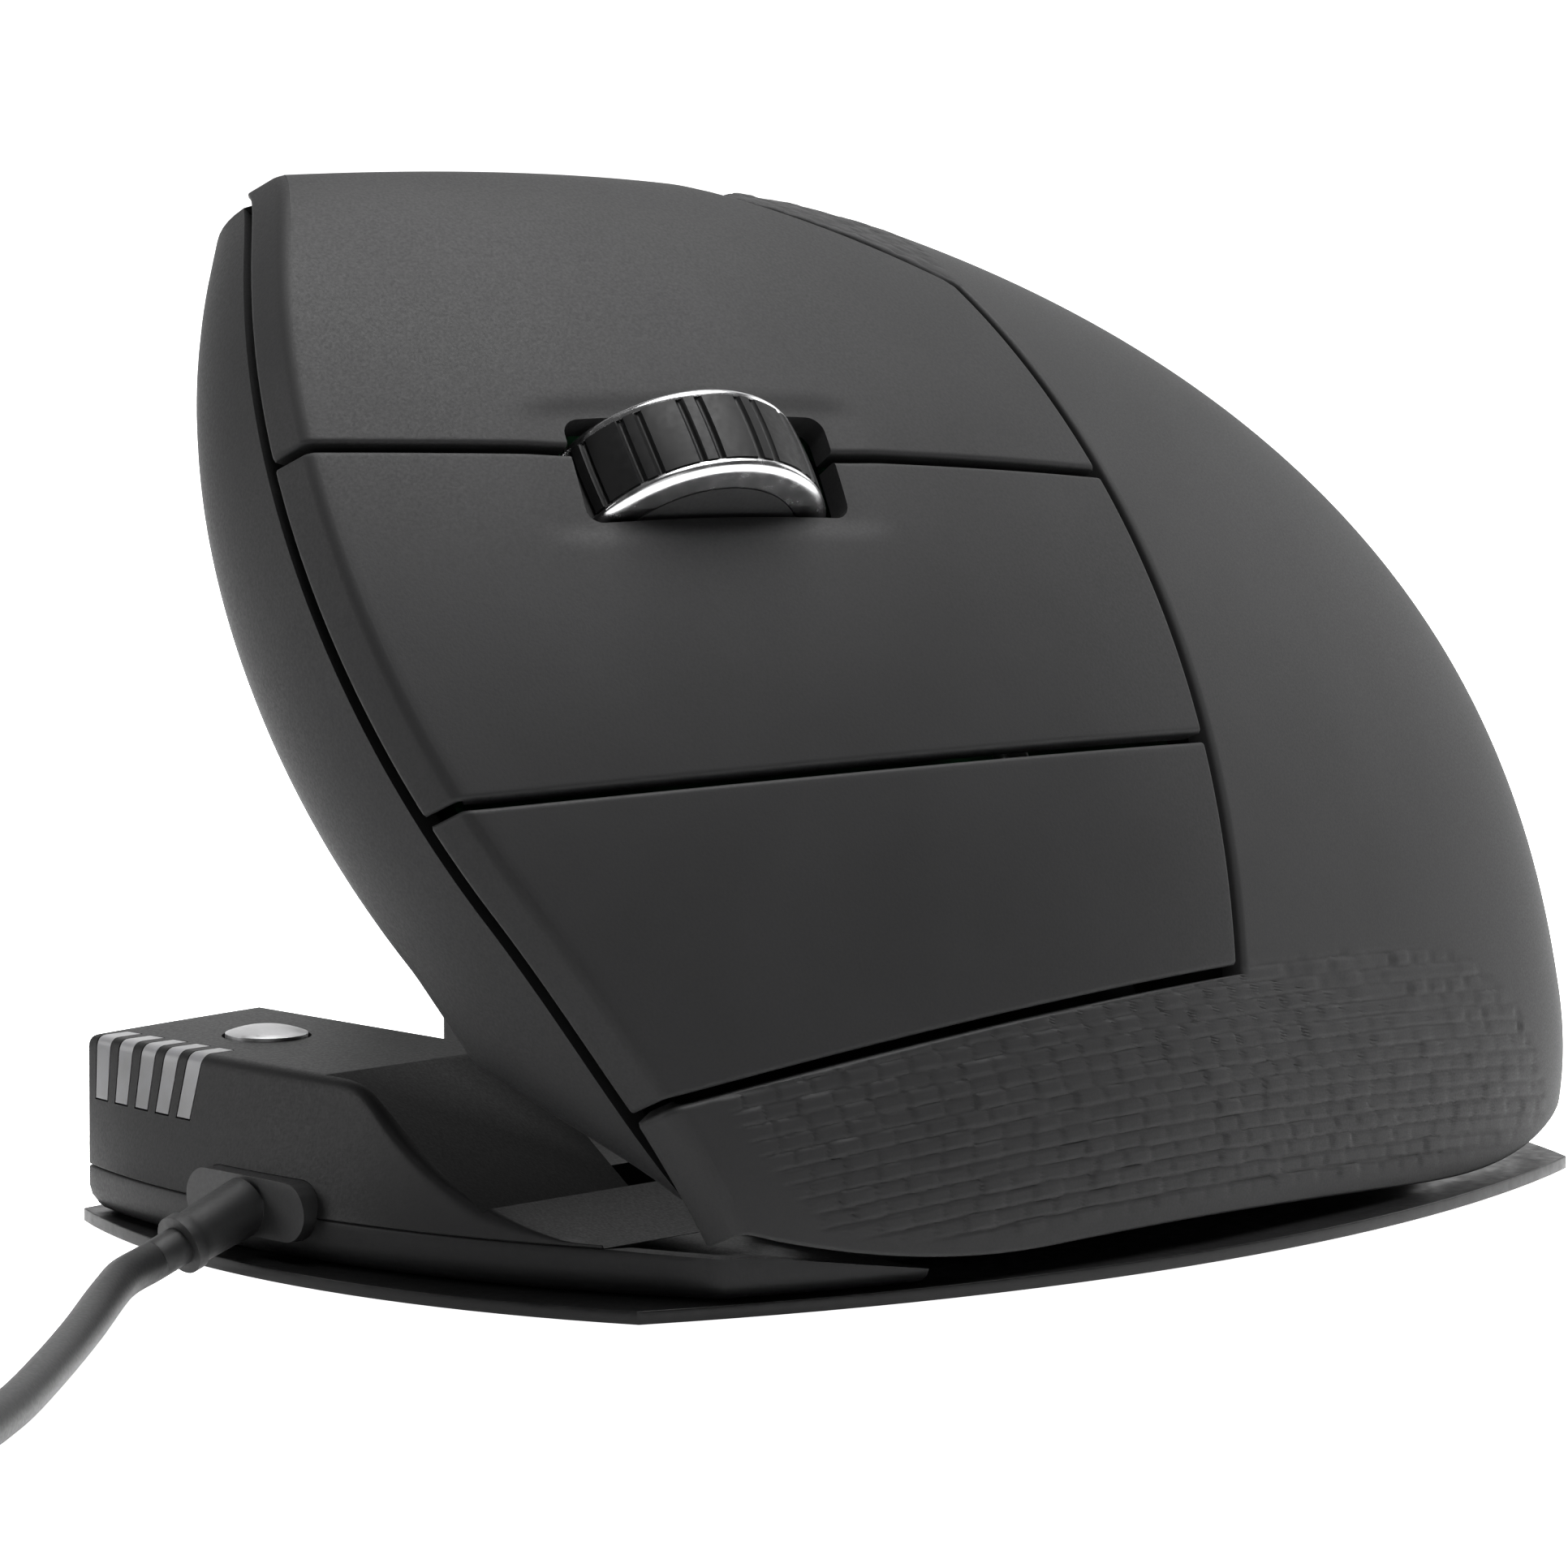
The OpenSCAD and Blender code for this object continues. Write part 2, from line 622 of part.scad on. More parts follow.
palm_rows = 24;
palm_cols = 10;
oval_low = -8;
oval_high = 66;
function grip_seam_point(k) = let (y = mix(front_edge(14.6), rear_seam(16.4) + seam / 2, k))
    [y, grip_seam(y) - seam / 2];
function rear_seam_point(k) = let (t = mix(16.4 - seam / 2, up_share(0.9135), k)) [rear_seam(t) - seam / 2, t];
function bottom_point(k) = let (y = mix(front_edge(8), oval_point(oval_low)[0], k)) [y, bottom_edge(y)];
function palm_line(k) = k < 1 ? [grip_seam_point(k), bottom_point(k)]
    : [rear_seam_point(k - 1), oval_point(mix(oval_low, oval_high, k - 1))];
palm_spots = [for (i = [0:2 * palm_rows]) let (line = palm_line(i / palm_rows))
    [for (j = [0:palm_cols]) mix(line[0], line[1], 1 - pow(1 - j / palm_cols, 1.6))]];

module palm_shell() {
    front = palm_spots[0];
    outer = concat([[for (p = front) on_face(p[0], p[1]) + [0, 0.4, -skirt]]],
        [for (line = palm_spots) [for (p = line) on_face(p[0], p[1])]]);
    inner = concat([[for (p = front) on_face(p[0], p[1]) + [0, 0.4 - shell_wall, -skirt]],
        [for (p = front) on_face(p[0], p[1]) + [0, -shell_wall, -shell_wall]]],
        [for (i = [1:2 * palm_rows]) [for (p = palm_spots[i]) under_face(p[0], p[1], shell_wall)]]);
    color(charcoal) in_face() sheet(outer, inner);
}

// A key lies between two seams; its front end turns down into a skirt
key_rows = 12;
key_cols = 8;
function key_spot(low, high, u, v, y, round) = round == 0 ? [y, mix(low(y), high(y), v)]
    : let (t = mix(low(y), high(y), v))
        key_spot(low, high, u, v, mix(rear_seam(t) + seam / 2, front_edge(t), u), round - 1);
function key_line(low, high, u) = [for (j = [0:key_cols])
    key_spot(low, high, u, 1 - pow(1 - j / key_cols, 1.4), mix(-10, 48, u), 4)];
module key_skin(low, high) {
    spots = [for (i = [0:key_rows]) key_line(low, high, i / key_rows)];
    front = spots[key_rows];
    outer = concat([for (line = spots) [for (p = line) on_face(p[0], p[1])]],
        [[for (p = front) on_face(p[0], p[1]) + [0, 0.4, -skirt]]]);
    inner = concat([for (i = [0:key_rows - 1]) [for (p = spots[i]) under_face(p[0], p[1], key_wall)]],
        [[for (p = front) on_face(p[0], p[1]) + [0, -key_wall, -key_wall]],
            [for (p = front) on_face(p[0], p[1]) + [0, 0.4 - key_wall, -skirt]]]);
    in_face() sheet(outer, inner);
}

module wheel_slot() {
    in_wheel() box([-wheel_w / 2 - 0.5, wheel_w / 2 + 0.5], [-9, 11], [-3, 20]);
}

module index_key() {
    color(charcoal) difference() {
        key_skin(function(y) index_seam(y) + seam / 2, function(y) oval_top(y, 0.996));
        wheel_slot();
    }
}

module middle_key() {
    color(charcoal) difference() {
        key_skin(function(y) ring_seam(y) + seam / 2, function(y) index_seam(y) - seam / 2);
        wheel_slot();
    }
}

module ring_key() {
    color(charcoal) key_skin(function(y) grip_seam(y) + seam / 2, function(y) ring_seam(y) - seam / 2);
}

// Lever under a key: a bar that follows the skin, a lug on the rod and a stem over the switch
module lever(t) {
    function top(y) = min(face(y, t - lever_w / 2), face(y, t + lever_w / 2)) - key_wall * 1.08 - lever_gap;
    line = [for (k = [0:4]) let (y = mix(-8, press_y + 2, k / 4)) [y, top(y)]];
    stem_low = board_top + switch_h - stem_dip;
    in_face() difference() {
        union() {
            translate([t - lever_w / 2, 0, 0]) rotate([90, 0, 90]) linear_extrude(lever_w)
                polygon(concat(line, [for (k = [len(line) - 1:-1:0]) line[k] - [0, lever_depth]]));
            box([t - lever_w / 2, t + lever_w / 2], [rod_y - 3, rod_y + 3], [rod_n, top(rod_y) - 1]);
            translate([t - lever_w / 2, rod_y, rod_n]) rotate([0, 90, 0]) cylinder(d = 6, h = lever_w);
            translate([t, press_y, stem_low]) cylinder(d = stem_d, h = top(press_y) - 1 - stem_low);
        }
        translate([t - 5, rod_y, rod_n]) rotate([0, 90, 0]) cylinder(d = rod_d + 2 * running_gap, h = 10);
    }
}

module index_lever() {
    color(black) lever(index_t);
}
module middle_lever() {
    color(black) lever(middle_t);
}
module ring_lever() {
    color(black) lever(ring_t);
}

module key_rod() {
    color(steel) in_face() translate([16.5, rod_y, rod_n]) rotate([0, 90, 0])
        cylinder(d = rod_d, h = up_share(0.79) - 16.5);
}

module key_switches() {
    color(black) in_face() for (t = [ring_t, middle_t, index_t])
        translate([t, press_y, board_top]) push_switch();
}

// Back shell: a shallow tray over the oval, its rim stands under the palm shell and in front under the keys
rim_front = [for (k = [0:17]) let (t = mix(chin_t, 87, k / 17))
    [front_edge(t), t, face(front_edge(t), t) - rim_drop]];
rim_oval = [for (k = [1:23]) let (p = oval_point(mix(82.5, 1.5, k / 23)))
    [p[0], p[1], crown(p[0], p[1]) - edge_drop(p[0], p[1]) - rim_gap]];
rim_low = [for (k = [1:15]) let (y = mix(-57, front_edge(chin_t), k / 16)) [y, low_end(y), floor_at(y, low_end(y))]];
rim = concat(rim_front, rim_oval, rim_low);
middle_spot = [4, 50];
function inward(p, w) = let (here = [p[0], p[1]]) here + w * unit(middle_spot - here);
function rim_loop(inset, low, wall) = [for (p = rim) let (q = inward(p, inset),
    bottom = back_at(q[0], q[1]) + wall, top = max(p[2], back_at(p[0], p[1]) + 1.2))
    [q[1], q[0], mix(top, bottom, low)]];
function back_loop(share, wall) = [for (p = rim)
    let (q = mix(inward(p, back_round + wall), middle_spot, share)) [q[1], q[0], back_at(q[0], q[1]) + wall]];

module back_shell() {
    centre = [middle_spot[1], middle_spot[0], back_at(middle_spot[0], middle_spot[1])];
    outside = [back_loop(0.5, 0), back_loop(0.25, 0), rim_loop(back_round, 1, 0), rim_loop(2.2, 0.85, 0),
        rim_loop(0.6, 0.55, 0), rim_loop(0, 0, 0)];
    inside = [rim_loop(shell_wall, 0, 0), rim_loop(shell_wall + 0.6, 0.5, shell_wall),
        rim_loop(back_round + shell_wall, 1, shell_wall), back_loop(0.25, shell_wall),
        back_loop(0.5, shell_wall)];
    color(charcoal) in_face() loft(concat(outside, inside), centre, centre + [0, 0, shell_wall]);
}

plate_outline = [[19, -36], [40, -38], [up_share(0.62), -28], [up_share(0.757), -4], [up_share(0.79), 20],
    [up_share(0.703), body_front - 18.8], [50, body_front - 11.8], [31, body_front - 18.8],
    [25, body_front - 38.8], [20, body_front - 42.8]];
board_outline = [[21, -30], [52, -30], [up_share(0.703), -12], [up_share(0.784), 8],
    [up_share(0.784), body_front - 18.8], [up_share(0.65), body_front - 10.8], [44, body_front - 10.8],
    [30, body_front - 13.8], [25, body_front - 22.8], [21, body_front - 30.8]];
board_spots = [[24, -24], [up_share(0.595), -18], [up_share(0.757), 14], [24, 16]];
rod_posts = [18.5, 34, up_share(0.527), up_share(0.7676)];

module body_frame() {
    color(black) difference() {
        union() {
            in_face() {
                translate([0, 0, floor_n + 0.02]) linear_extrude(frame_wall - 0.02) polygon(plate_outline);
                for (spot = board_spots) let (foot = floor_at(spot[1], spot[0] - 2.5) + 0.02)
                    translate([spot[0], spot[1], foot]) cylinder(d = 5, h = frame_top + standoff - foot);
                for (t = rod_posts)
                    box([t - 1.5, t + 1.5], [rod_y - 2.6, rod_y + 2.6], [frame_top - 1, rod_n + 2.2]);
                for (y = [-28, -12, 4]) box([hinge_t, 21], [y, y + 9], [floor_n + 0.02, hinge_n + 1]);
            }
            in_base() along_y(hinge_x, hinge_z, barrel_rear, barrel_front, 2 * knuckle_r);
        }
        in_base() along_y(hinge_x, hinge_z, -60, 60, hinge_pin_d + 2 * running_gap);
        in_face() {
            translate([10, rod_y, rod_n]) rotate([0, 90, 0]) cylinder(d = rod_d, h = 80);
            for (spot = board_spots) translate([spot[0], spot[1], floor_n + 0.4]) cylinder(d = 2, h = 9);
        }
    }
}

module body_board() {
    color(green) in_face() difference() {
        translate([0, 0, board_low]) linear_extrude(board_wall) polygon(board_outline);
        for (t = rod_posts) box([t - 1.8, t + 1.8], [rod_y - 3.3, rod_y + 3.3], [-40, 0]);
        for (spot = board_spots) translate([spot[0], spot[1], -40]) cylinder(d = 2.2, h = 60);
    }
}

module board_screws() {
    color(steel) in_face() for (spot = board_spots) translate([spot[0], spot[1], 0]) {
        translate([0, 0, board_top]) cylinder(d = 4, h = 1.4);
        translate([0, 0, floor_n + 0.5]) cylinder(d = 2, h = board_top - floor_n);
    }
}

// Scroll wheel, axle along X in the wheel frame

module ring_x(from, to, outer_d, inner_d) {
    translate([from, 0, 0]) rotate([0, 90, 0]) difference() {
        cylinder(d = outer_d, h = to - from);
        translate([0, 0, -1]) cylinder(d = inner_d, h = to - from + 2);
    }
}
axle_half = wheel_w / 2 + 2.2;

module wheel_hub() {
    color(black) in_wheel() {
        translate([-wheel_w / 2, 0, 0]) rotate([0, 90, 0]) cylinder(d = hub_d, h = wheel_w);
        translate([-axle_half, 0, 0]) rotate([0, 90, 0]) cylinder(d = axle_d, h = 2 * axle_half);
    }
}

tread_count = 14;
module wheel_tyre() {
    half = wheel_w / 2 - ring_wall;
    color(black) in_wheel() difference() {
        ring_x(-half, half, wheel_d, hub_d);
        for (k = [0:tread_count - 1], side = [-4, 4]) rotate([360 * k / tread_count + side, 0, 0])
            box([-half - 1, half + 1], [-0.25, 0.25], [wheel_d / 2 - 0.4, wheel_d / 2 + 1]);
    }
}

module wheel_rings() {
    color(steel) in_wheel() for (x = [-wheel_w / 2, wheel_w / 2 - ring_wall])
        ring_x(x, x + ring_wall, wheel_d - 0.4, hub_d);
}

module wheel_carrier() {
    cheek = wheel_w / 2 + 0.5;
    color(charcoal) in_wheel() difference() {
        union() {
            for (x = [-cheek - 1.8, cheek]) box([x, x + 1.8], [-13.5, 3], [-6, 2]);
            box([-cheek - 1.8, cheek + 1.8], [-13.5, -11.5], [-6, -1]);
        }
        translate([-20, 0, 0]) rotate([0, 90, 0]) cylinder(d = axle_d + 2 * running_gap, h = 40);
    }
}

module wheel_encoder() {
    cheek = wheel_w / 2 + 2.3;
    color(pale) in_wheel() box([-cheek - 3, -cheek], [-4, 4], [-7, 0]);
}

module wheel_switch() {
    color(black) in_face() translate([wheel_t - 4, wheel_y - 12, board_top]) push_switch();
}

// Thumb rest

module thumb_rail() {
    color(charcoal) in_base() box([6, 29], [rail_y - 5, rail_y + 5], [deck_z, deck_z + 2]);
}

module thumb_carriage() {
    color(charcoal) in_base() difference() {
        union() {
            box([20, 34], [rail_y - 8, rail_y + 8], [deck_z + 0.3, deck_z + 4]);
            box([thumb_axis_x - 2.5, thumb_axis_x + 2.5], [rail_y - 3, rail_y + 3],
                [deck_z + 2, thumb_axis_z]);
            along_y(thumb_axis_x, thumb_axis_z, rail_y - 3, rail_y + 3, 6);
        }
        box([0, 60], [rail_y - 5.3, rail_y + 5.3], [0, deck_z + 2.3]);
        along_y(thumb_axis_x, thumb_axis_z, -60, 60, thumb_pin_d);
    }
}

module thumb_pin() {
    color(steel) in_base() along_y(thumb_axis_x, thumb_axis_z, rail_y - 9, rail_y + 9, thumb_pin_d);
}

// Curved wall round the cradle axis between two angles, zero pointing right
module cradle(inner_r, outer_r, low, high, from, to) {
    reach = 2 * outer_r;
    middle = (low + high) / 2;
    translate([cradle_x, to, cradle_z]) rotate([90, 0, 0]) linear_extrude(to - from) intersection() {
        difference() {
            circle(r = outer_r);
            circle(r = inner_r);
        }
        polygon([[0, 0], reach * [cos(low), sin(low)], reach * [cos(middle), sin(middle)],
            reach * [cos(high), sin(high)]]);
    }
}

key_low = key_angle - key_half;
key_high = key_angle + key_half;
thumb_keys = [[-12.5, 0.5], [-26, -13.5]];

module thumb_pad() {
    color(charcoal) in_base() difference() {
        union() {
            cradle(cradle_r, pad_r, -80, 5, pad_rear, pad_front);
            for (y = [rail_y - 8.5, rail_y + 3.3]) {
                along_y(thumb_axis_x, thumb_axis_z, y, y + 5.2, 6);
                box([thumb_axis_x - 2, thumb_axis_x + 2], [y, y + 5.2],
                    [thumb_axis_z, cradle_z - cradle_r - 1.5]);
            }
        }
        for (span = thumb_keys)
            cradle(cradle_r - 3, pad_r + 3, key_low - 1.6, key_high + 1.6, span[0] - 0.4, span[1] + 0.4);
        along_y(thumb_axis_x, thumb_axis_z, -60, 60, thumb_pin_d + 2 * running_gap);
    }
}

module thumb_cover() {
    color(charcoal) in_base() difference() {
        cradle(pad_r, cover_r, -48, 4, pad_rear + 1.5, pad_front - 1.5);
        cradle(pad_r - 1, cover_r - 1.4, -44, 2, pad_rear + 3, pad_front - 3);
    }
}

// Frame of the thumb keys: X runs outward through the middle of both keys
module in_thumb(y) {
    translate([cradle_x, y, cradle_z]) rotate([0, -key_angle, 0]) children();
}
thumb_board_r = pad_r + 3.9;

module thumb_board() {
    color(green) in_base() in_thumb(0)
        box([thumb_board_r, thumb_board_r + board_wall], [pad_rear + 3.5, pad_front - 3.5], [-4, 4]);
}

module thumb_switches() {
    color(black) in_base() for (span = thumb_keys) in_thumb((span[0] + span[1]) / 2)
        translate([thumb_board_r, 0, 0]) rotate([0, -90, 0]) push_switch();
}

module thumb_key(span) {
    cradle(cradle_r - 0.8, pad_r - 0.3, key_low, key_high, span[0], span[1]);
    in_thumb((span[0] + span[1]) / 2) rotate([0, 90, 0]) translate([0, 0, pad_r - 1])
        cylinder(d = stem_d, h = thumb_board_r - switch_h + stem_dip - pad_r + 1);
}

module thumb_forward_key() {
    color(black) in_base() thumb_key(thumb_keys[0]);
}
module thumb_back_key() {
    color(black) in_base() thumb_key(thumb_keys[1]);
}

bottom_cover();
lower_housing();
upper_housing();
glide_feet();
sensor_lens();
sensor_chip();
base_board();
dpi_board();
dpi_switch();
dpi_button();
light_guide();
base_screws();
hinge_bracket();
hinge_pin();
hinge_washers();
cable_grommet();
cable_lead();
cable_coil();
cable_tie();
plug_body();
plug_shell();
palm_shell();
back_shell();
body_frame();
body_board();
board_screws();
key_rod();
key_switches();
index_key();
index_lever();
middle_key();
middle_lever();
ring_key();
ring_lever();
wheel_carrier();
wheel_hub();
wheel_tyre();
wheel_rings();
wheel_encoder();
wheel_switch();
thumb_rail();
thumb_carriage();
thumb_pin();
thumb_pad();
thumb_cover();
thumb_board();
thumb_switches();
thumb_forward_key();
thumb_back_key();
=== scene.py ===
"""Looks of a left-handed vertical mouse: fine shells by the formulas of its solids, and all materials."""

import math

import bmesh
import bpy
import numpy as np
from mathutils import Matrix, Vector


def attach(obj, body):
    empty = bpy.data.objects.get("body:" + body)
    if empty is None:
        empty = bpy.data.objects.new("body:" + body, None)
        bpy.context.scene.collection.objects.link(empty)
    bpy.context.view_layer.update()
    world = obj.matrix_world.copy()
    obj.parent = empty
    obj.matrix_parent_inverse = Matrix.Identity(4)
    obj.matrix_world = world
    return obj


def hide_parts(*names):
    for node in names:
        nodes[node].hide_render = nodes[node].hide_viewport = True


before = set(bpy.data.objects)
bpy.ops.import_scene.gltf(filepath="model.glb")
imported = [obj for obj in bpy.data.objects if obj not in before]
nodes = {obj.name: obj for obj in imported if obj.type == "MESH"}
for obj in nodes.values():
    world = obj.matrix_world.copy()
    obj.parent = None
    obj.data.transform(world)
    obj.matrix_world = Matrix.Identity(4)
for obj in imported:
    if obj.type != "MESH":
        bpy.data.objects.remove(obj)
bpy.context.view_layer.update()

# Frames. Lengths are in millimetres until spot() or on_body() turns them into metres.

MM = 0.001
MIDDLE_X, MIDDLE_Y = 5.7, -0.827
FACE_X, FACE_Z = -41, 4
TILT = math.radians(65)


def spot(x, y, z):
    """Point of the base's own frame, moved to the middle of the object."""
    return Vector((x - MIDDLE_X, y - MIDDLE_Y, z)) * MM


def on_body(t, y, n):
    """Point of the hand body's face frame: up the face, forward, out of the face."""
    return spot(FACE_X + t * math.cos(TILT) - n * math.sin(TILT), y,
                FACE_Z + t * math.sin(TILT) + n * math.cos(TILT))


def mix(a, b, share):
    return a + (b - a) * share


def ramp(low, high, value):
    """Smooth step from 0 at low to 1 at high."""
    k = min(max((value - low) / (high - low), 0), 1)
    return k * k * (3 - 2 * k)


# Camera

IMAGE_SIZE = 1932
FOCAL_PIXELS = 9000
SENSOR_MM = 36
AZIMUTH, ELEVATION = math.radians(226), math.radians(7)
CAMERA_SPOT = spot(-383.3, 371.4, 96.3)


def make_camera():
    level = math.cos(ELEVATION)
    back = Vector((math.sin(AZIMUTH) * level, -math.cos(AZIMUTH) * level, math.sin(ELEVATION)))
    right = Vector((math.cos(AZIMUTH), math.sin(AZIMUTH), 0))
    up = back.cross(right)
    data = bpy.data.cameras.new("front_left_camera")
    data.sensor_width = SENSOR_MM
    data.lens = SENSOR_MM * FOCAL_PIXELS / IMAGE_SIZE
    data.clip_start = 0.01
    camera = bpy.data.objects.new("front_left_camera", data)
    turn = Matrix((right, up, back)).transposed().to_4x4()
    camera.matrix_world = Matrix.Translation(CAMERA_SPOT) @ turn
    bpy.context.collection.objects.link(camera)
    bpy.context.scene.camera = camera


make_camera()


# Materials

NOISE_LOW, NOISE_HIGH = 0.3, 0.7
BLOTCH_MM, BLOTCH_CONTRAST = 9, 0.12
PLASTIC_TONE = (1, 1, 1.03)
METAL_TONE = (1, 1, 1.01)
MASK_DARK, MASK_LIGHT = (0.008, 0.06, 0.022), (0.016, 0.11, 0.04)


def new_material(name):
    material = bpy.data.materials.new(name)
    material.use_nodes = True
    tree = material.node_tree
    return material, tree, tree.nodes["Principled BSDF"]


def noise(tree, size_mm, detail=3.0):
    """Noise with grains of about size_mm, fixed to the object."""
    coords = tree.nodes.new("ShaderNodeTexCoord")
    texture = tree.nodes.new("ShaderNodeTexNoise")
    texture.inputs["Scale"].default_value = 1 / (size_mm * MM)
    texture.inputs["Detail"].default_value = detail
    tree.links.new(coords.outputs["Object"], texture.inputs["Vector"])
    return texture.outputs["Fac"]


def between(tree, value, low, high):
    """The usual range of a noise spread over low to high."""
    spread = tree.nodes.new("ShaderNodeMapRange")
    spread.inputs["From Min"].default_value = NOISE_LOW
    spread.inputs["From Max"].default_value = NOISE_HIGH
    spread.inputs["To Min"].default_value = low
    spread.inputs["To Max"].default_value = high
    tree.links.new(value, spread.inputs["Value"])
    return spread.outputs["Result"]


def tinted(tree, value, dark, light):
    """Colour between two shades, picked by a noise."""
    shades = tree.nodes.new("ShaderNodeValToRGB")
    first, last = shades.color_ramp.elements
    first.position = NOISE_LOW
    first.color = (*dark, 1)
    last.position = NOISE_HIGH
    last.color = (*light, 1)
    tree.links.new(value, shades.inputs["Fac"])
    return shades.outputs["Color"]


def toned(shade, tone):
    return [shade * c for c in tone]


def bumped(tree, shader, height, depth_mm):
    """Fine relief of a given depth."""
    bump = tree.nodes.new("ShaderNodeBump")
    bump.inputs["Distance"].default_value = depth_mm * MM
    bump.inputs["Strength"].default_value = 1
    tree.links.new(height, bump.inputs["Height"])
    tree.links.new(bump.outputs["Normal"], shader.inputs["Normal"])


def moulded(name, shade, rough, grain_mm, depth_mm, sheen=0.0, specular=0.4):
    """Moulded plastic or rubber: fine grain, slow changes of shade, roughness that follows the grain."""
    material, tree, shader = new_material(name)
    blotch = noise(tree, BLOTCH_MM)
    dark = toned((1 - BLOTCH_CONTRAST) * shade, PLASTIC_TONE)
    light = toned((1 + BLOTCH_CONTRAST) * shade, PLASTIC_TONE)
    tree.links.new(tinted(tree, blotch, dark, light), shader.inputs["Base Color"])
    grain = noise(tree, grain_mm)
    tree.links.new(between(tree, grain, rough - 0.06, rough + 0.06), shader.inputs["Roughness"])
    shader.inputs["Specular IOR Level"].default_value = specular
    shader.inputs["Sheen Weight"].default_value = sheen
    bumped(tree, shader, grain, depth_mm)
    return material


def metal(name, shade, rough, scratch_mm=0.4):
    """Bare metal with fine wear in its polish."""
    material, tree, shader = new_material(name)
    wear = noise(tree, scratch_mm, 5)
    dark = toned(0.94 * shade, METAL_TONE)
    light = toned(shade, METAL_TONE)
    tree.links.new(tinted(tree, wear, dark, light), shader.inputs["Base Color"])
    tree.links.new(between(tree, wear, rough * 0.8, rough * 1.3), shader.inputs["Roughness"])
    shader.inputs["Metallic"].default_value = 1
    bumped(tree, shader, wear, 0.0005)
    return material


def milky(name, shade, rough):
    """Frosted light guide: lets light in and scatters it."""
    material, tree, shader = new_material(name)
    cloud = noise(tree, 1.5)
    frost = tinted(tree, cloud, [0.9 * shade] * 3, [shade, shade, 1.05 * shade])
    tree.links.new(frost, shader.inputs["Base Color"])
    tree.links.new(between(tree, cloud, rough - 0.05, rough + 0.05), shader.inputs["Roughness"])
    shader.inputs["Subsurface Weight"].default_value = 0.3
    shader.inputs["Subsurface Radius"].default_value = (MM, MM, MM)
    bumped(tree, shader, noise(tree, 0.2), 0.004)
    return material


def circuit(name):
    """Solder mask with faint copper tracks below it."""
    material, tree, shader = new_material(name)
    tracks = noise(tree, 2.5, 0)
    tree.links.new(tinted(tree, tracks, MASK_DARK, MASK_LIGHT), shader.inputs["Base Color"])
    tree.links.new(between(tree, tracks, 0.3, 0.42), shader.inputs["Roughness"])
    bumped(tree, shader, tracks, 0.03)
    return material


KEY = moulded("key_plastic", 0.011, 0.62, 0.22, 0.010, specular=0.2)
SOFT = moulded("soft_touch", 0.012, 0.60, 0.16, 0.006, sheen=0.03, specular=0.2)
BACK = moulded("back_plastic", 0.010, 0.58, 0.22, 0.010, specular=0.18)
BASE = moulded("base_plastic", 0.010, 0.52, 0.22, 0.010, specular=0.16)
GLOSS = moulded("gloss_cover", 0.006, 0.34, 0.8, 0.010, specular=0.15)
INNER = moulded("inner_plastic", 0.012, 0.55, 0.3, 0.010)
RUBBER = moulded("cable_rubber", 0.012, 0.55, 0.3, 0.008)
TYRE = moulded("wheel_rubber", 0.005, 0.46, 0.5, 0.006, specular=0.12)
GLIDE = moulded("glide_pad", 0.60, 0.35, 0.5, 0.006)
CHIP = moulded("chip_case", 0.014, 0.5, 0.3, 0.010)
SILVER = metal("silver_button", 0.46, 0.40)
STEEL = metal("steel", 0.55, 0.32)
CHROME = metal("chrome", 0.52, 0.22, scratch_mm=1.0)
LIGHT = milky("light_guide", 0.24, 0.35)
CLEAR = milky("lens", 0.55, 0.15)
BOARD = circuit("circuit_board")


# Pieces

SHARP_ANGLE = 40
SMOOTH_REACH = 3


def finish_piece(piece, body, material, stands_for=()):
    piece.data.materials.clear()
    piece.data.materials.append(material)
    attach(piece, body)
    if stands_for:
        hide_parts(*stands_for)
    return piece


def make(name, points, faces, sharp=SHARP_ANGLE):
    """New mesh object with outward normals, smooth except at sharp edges."""
    mesh = bpy.data.meshes.new(name)
    mesh.from_pydata(points, [], faces)
    work = bmesh.new()
    work.from_mesh(mesh)
    bmesh.ops.recalc_face_normals(work, faces=work.faces)
    work.to_mesh(mesh)
    work.free()
    mesh.shade_smooth()
    mesh.set_sharp_from_angle(angle=math.radians(sharp))
    piece = bpy.data.objects.new(name, mesh)
    bpy.context.collection.objects.link(piece)
    return piece


def strip(first, second, closed=False):
    """Quads between two rows of point numbers."""
    count = len(first)
    quads = []
    for k in range(count if closed else count - 1):
        after = (k + 1) % count
        quads.append((first[k], first[after], second[after], second[k]))
    return quads


def round_drop(distance, radius):
    """How far a rounded edge falls below the surface at a distance from the edge."""
    short = np.clip(radius - distance, 0, radius)
    return radius - np.sqrt(np.maximum(radius * radius - short * short, 0))


def run(grid, axis):
    """Distance of each grid point to the nearer of the two ends, measured along one direction."""
    steps = np.linalg.norm(np.diff(grid, axis=axis), axis=2)
    lead = np.insert(np.cumsum(steps, axis=axis), 0, 0, axis=axis)
    total = np.take(lead, [-1], axis=axis)
    return np.minimum(lead, total - lead)


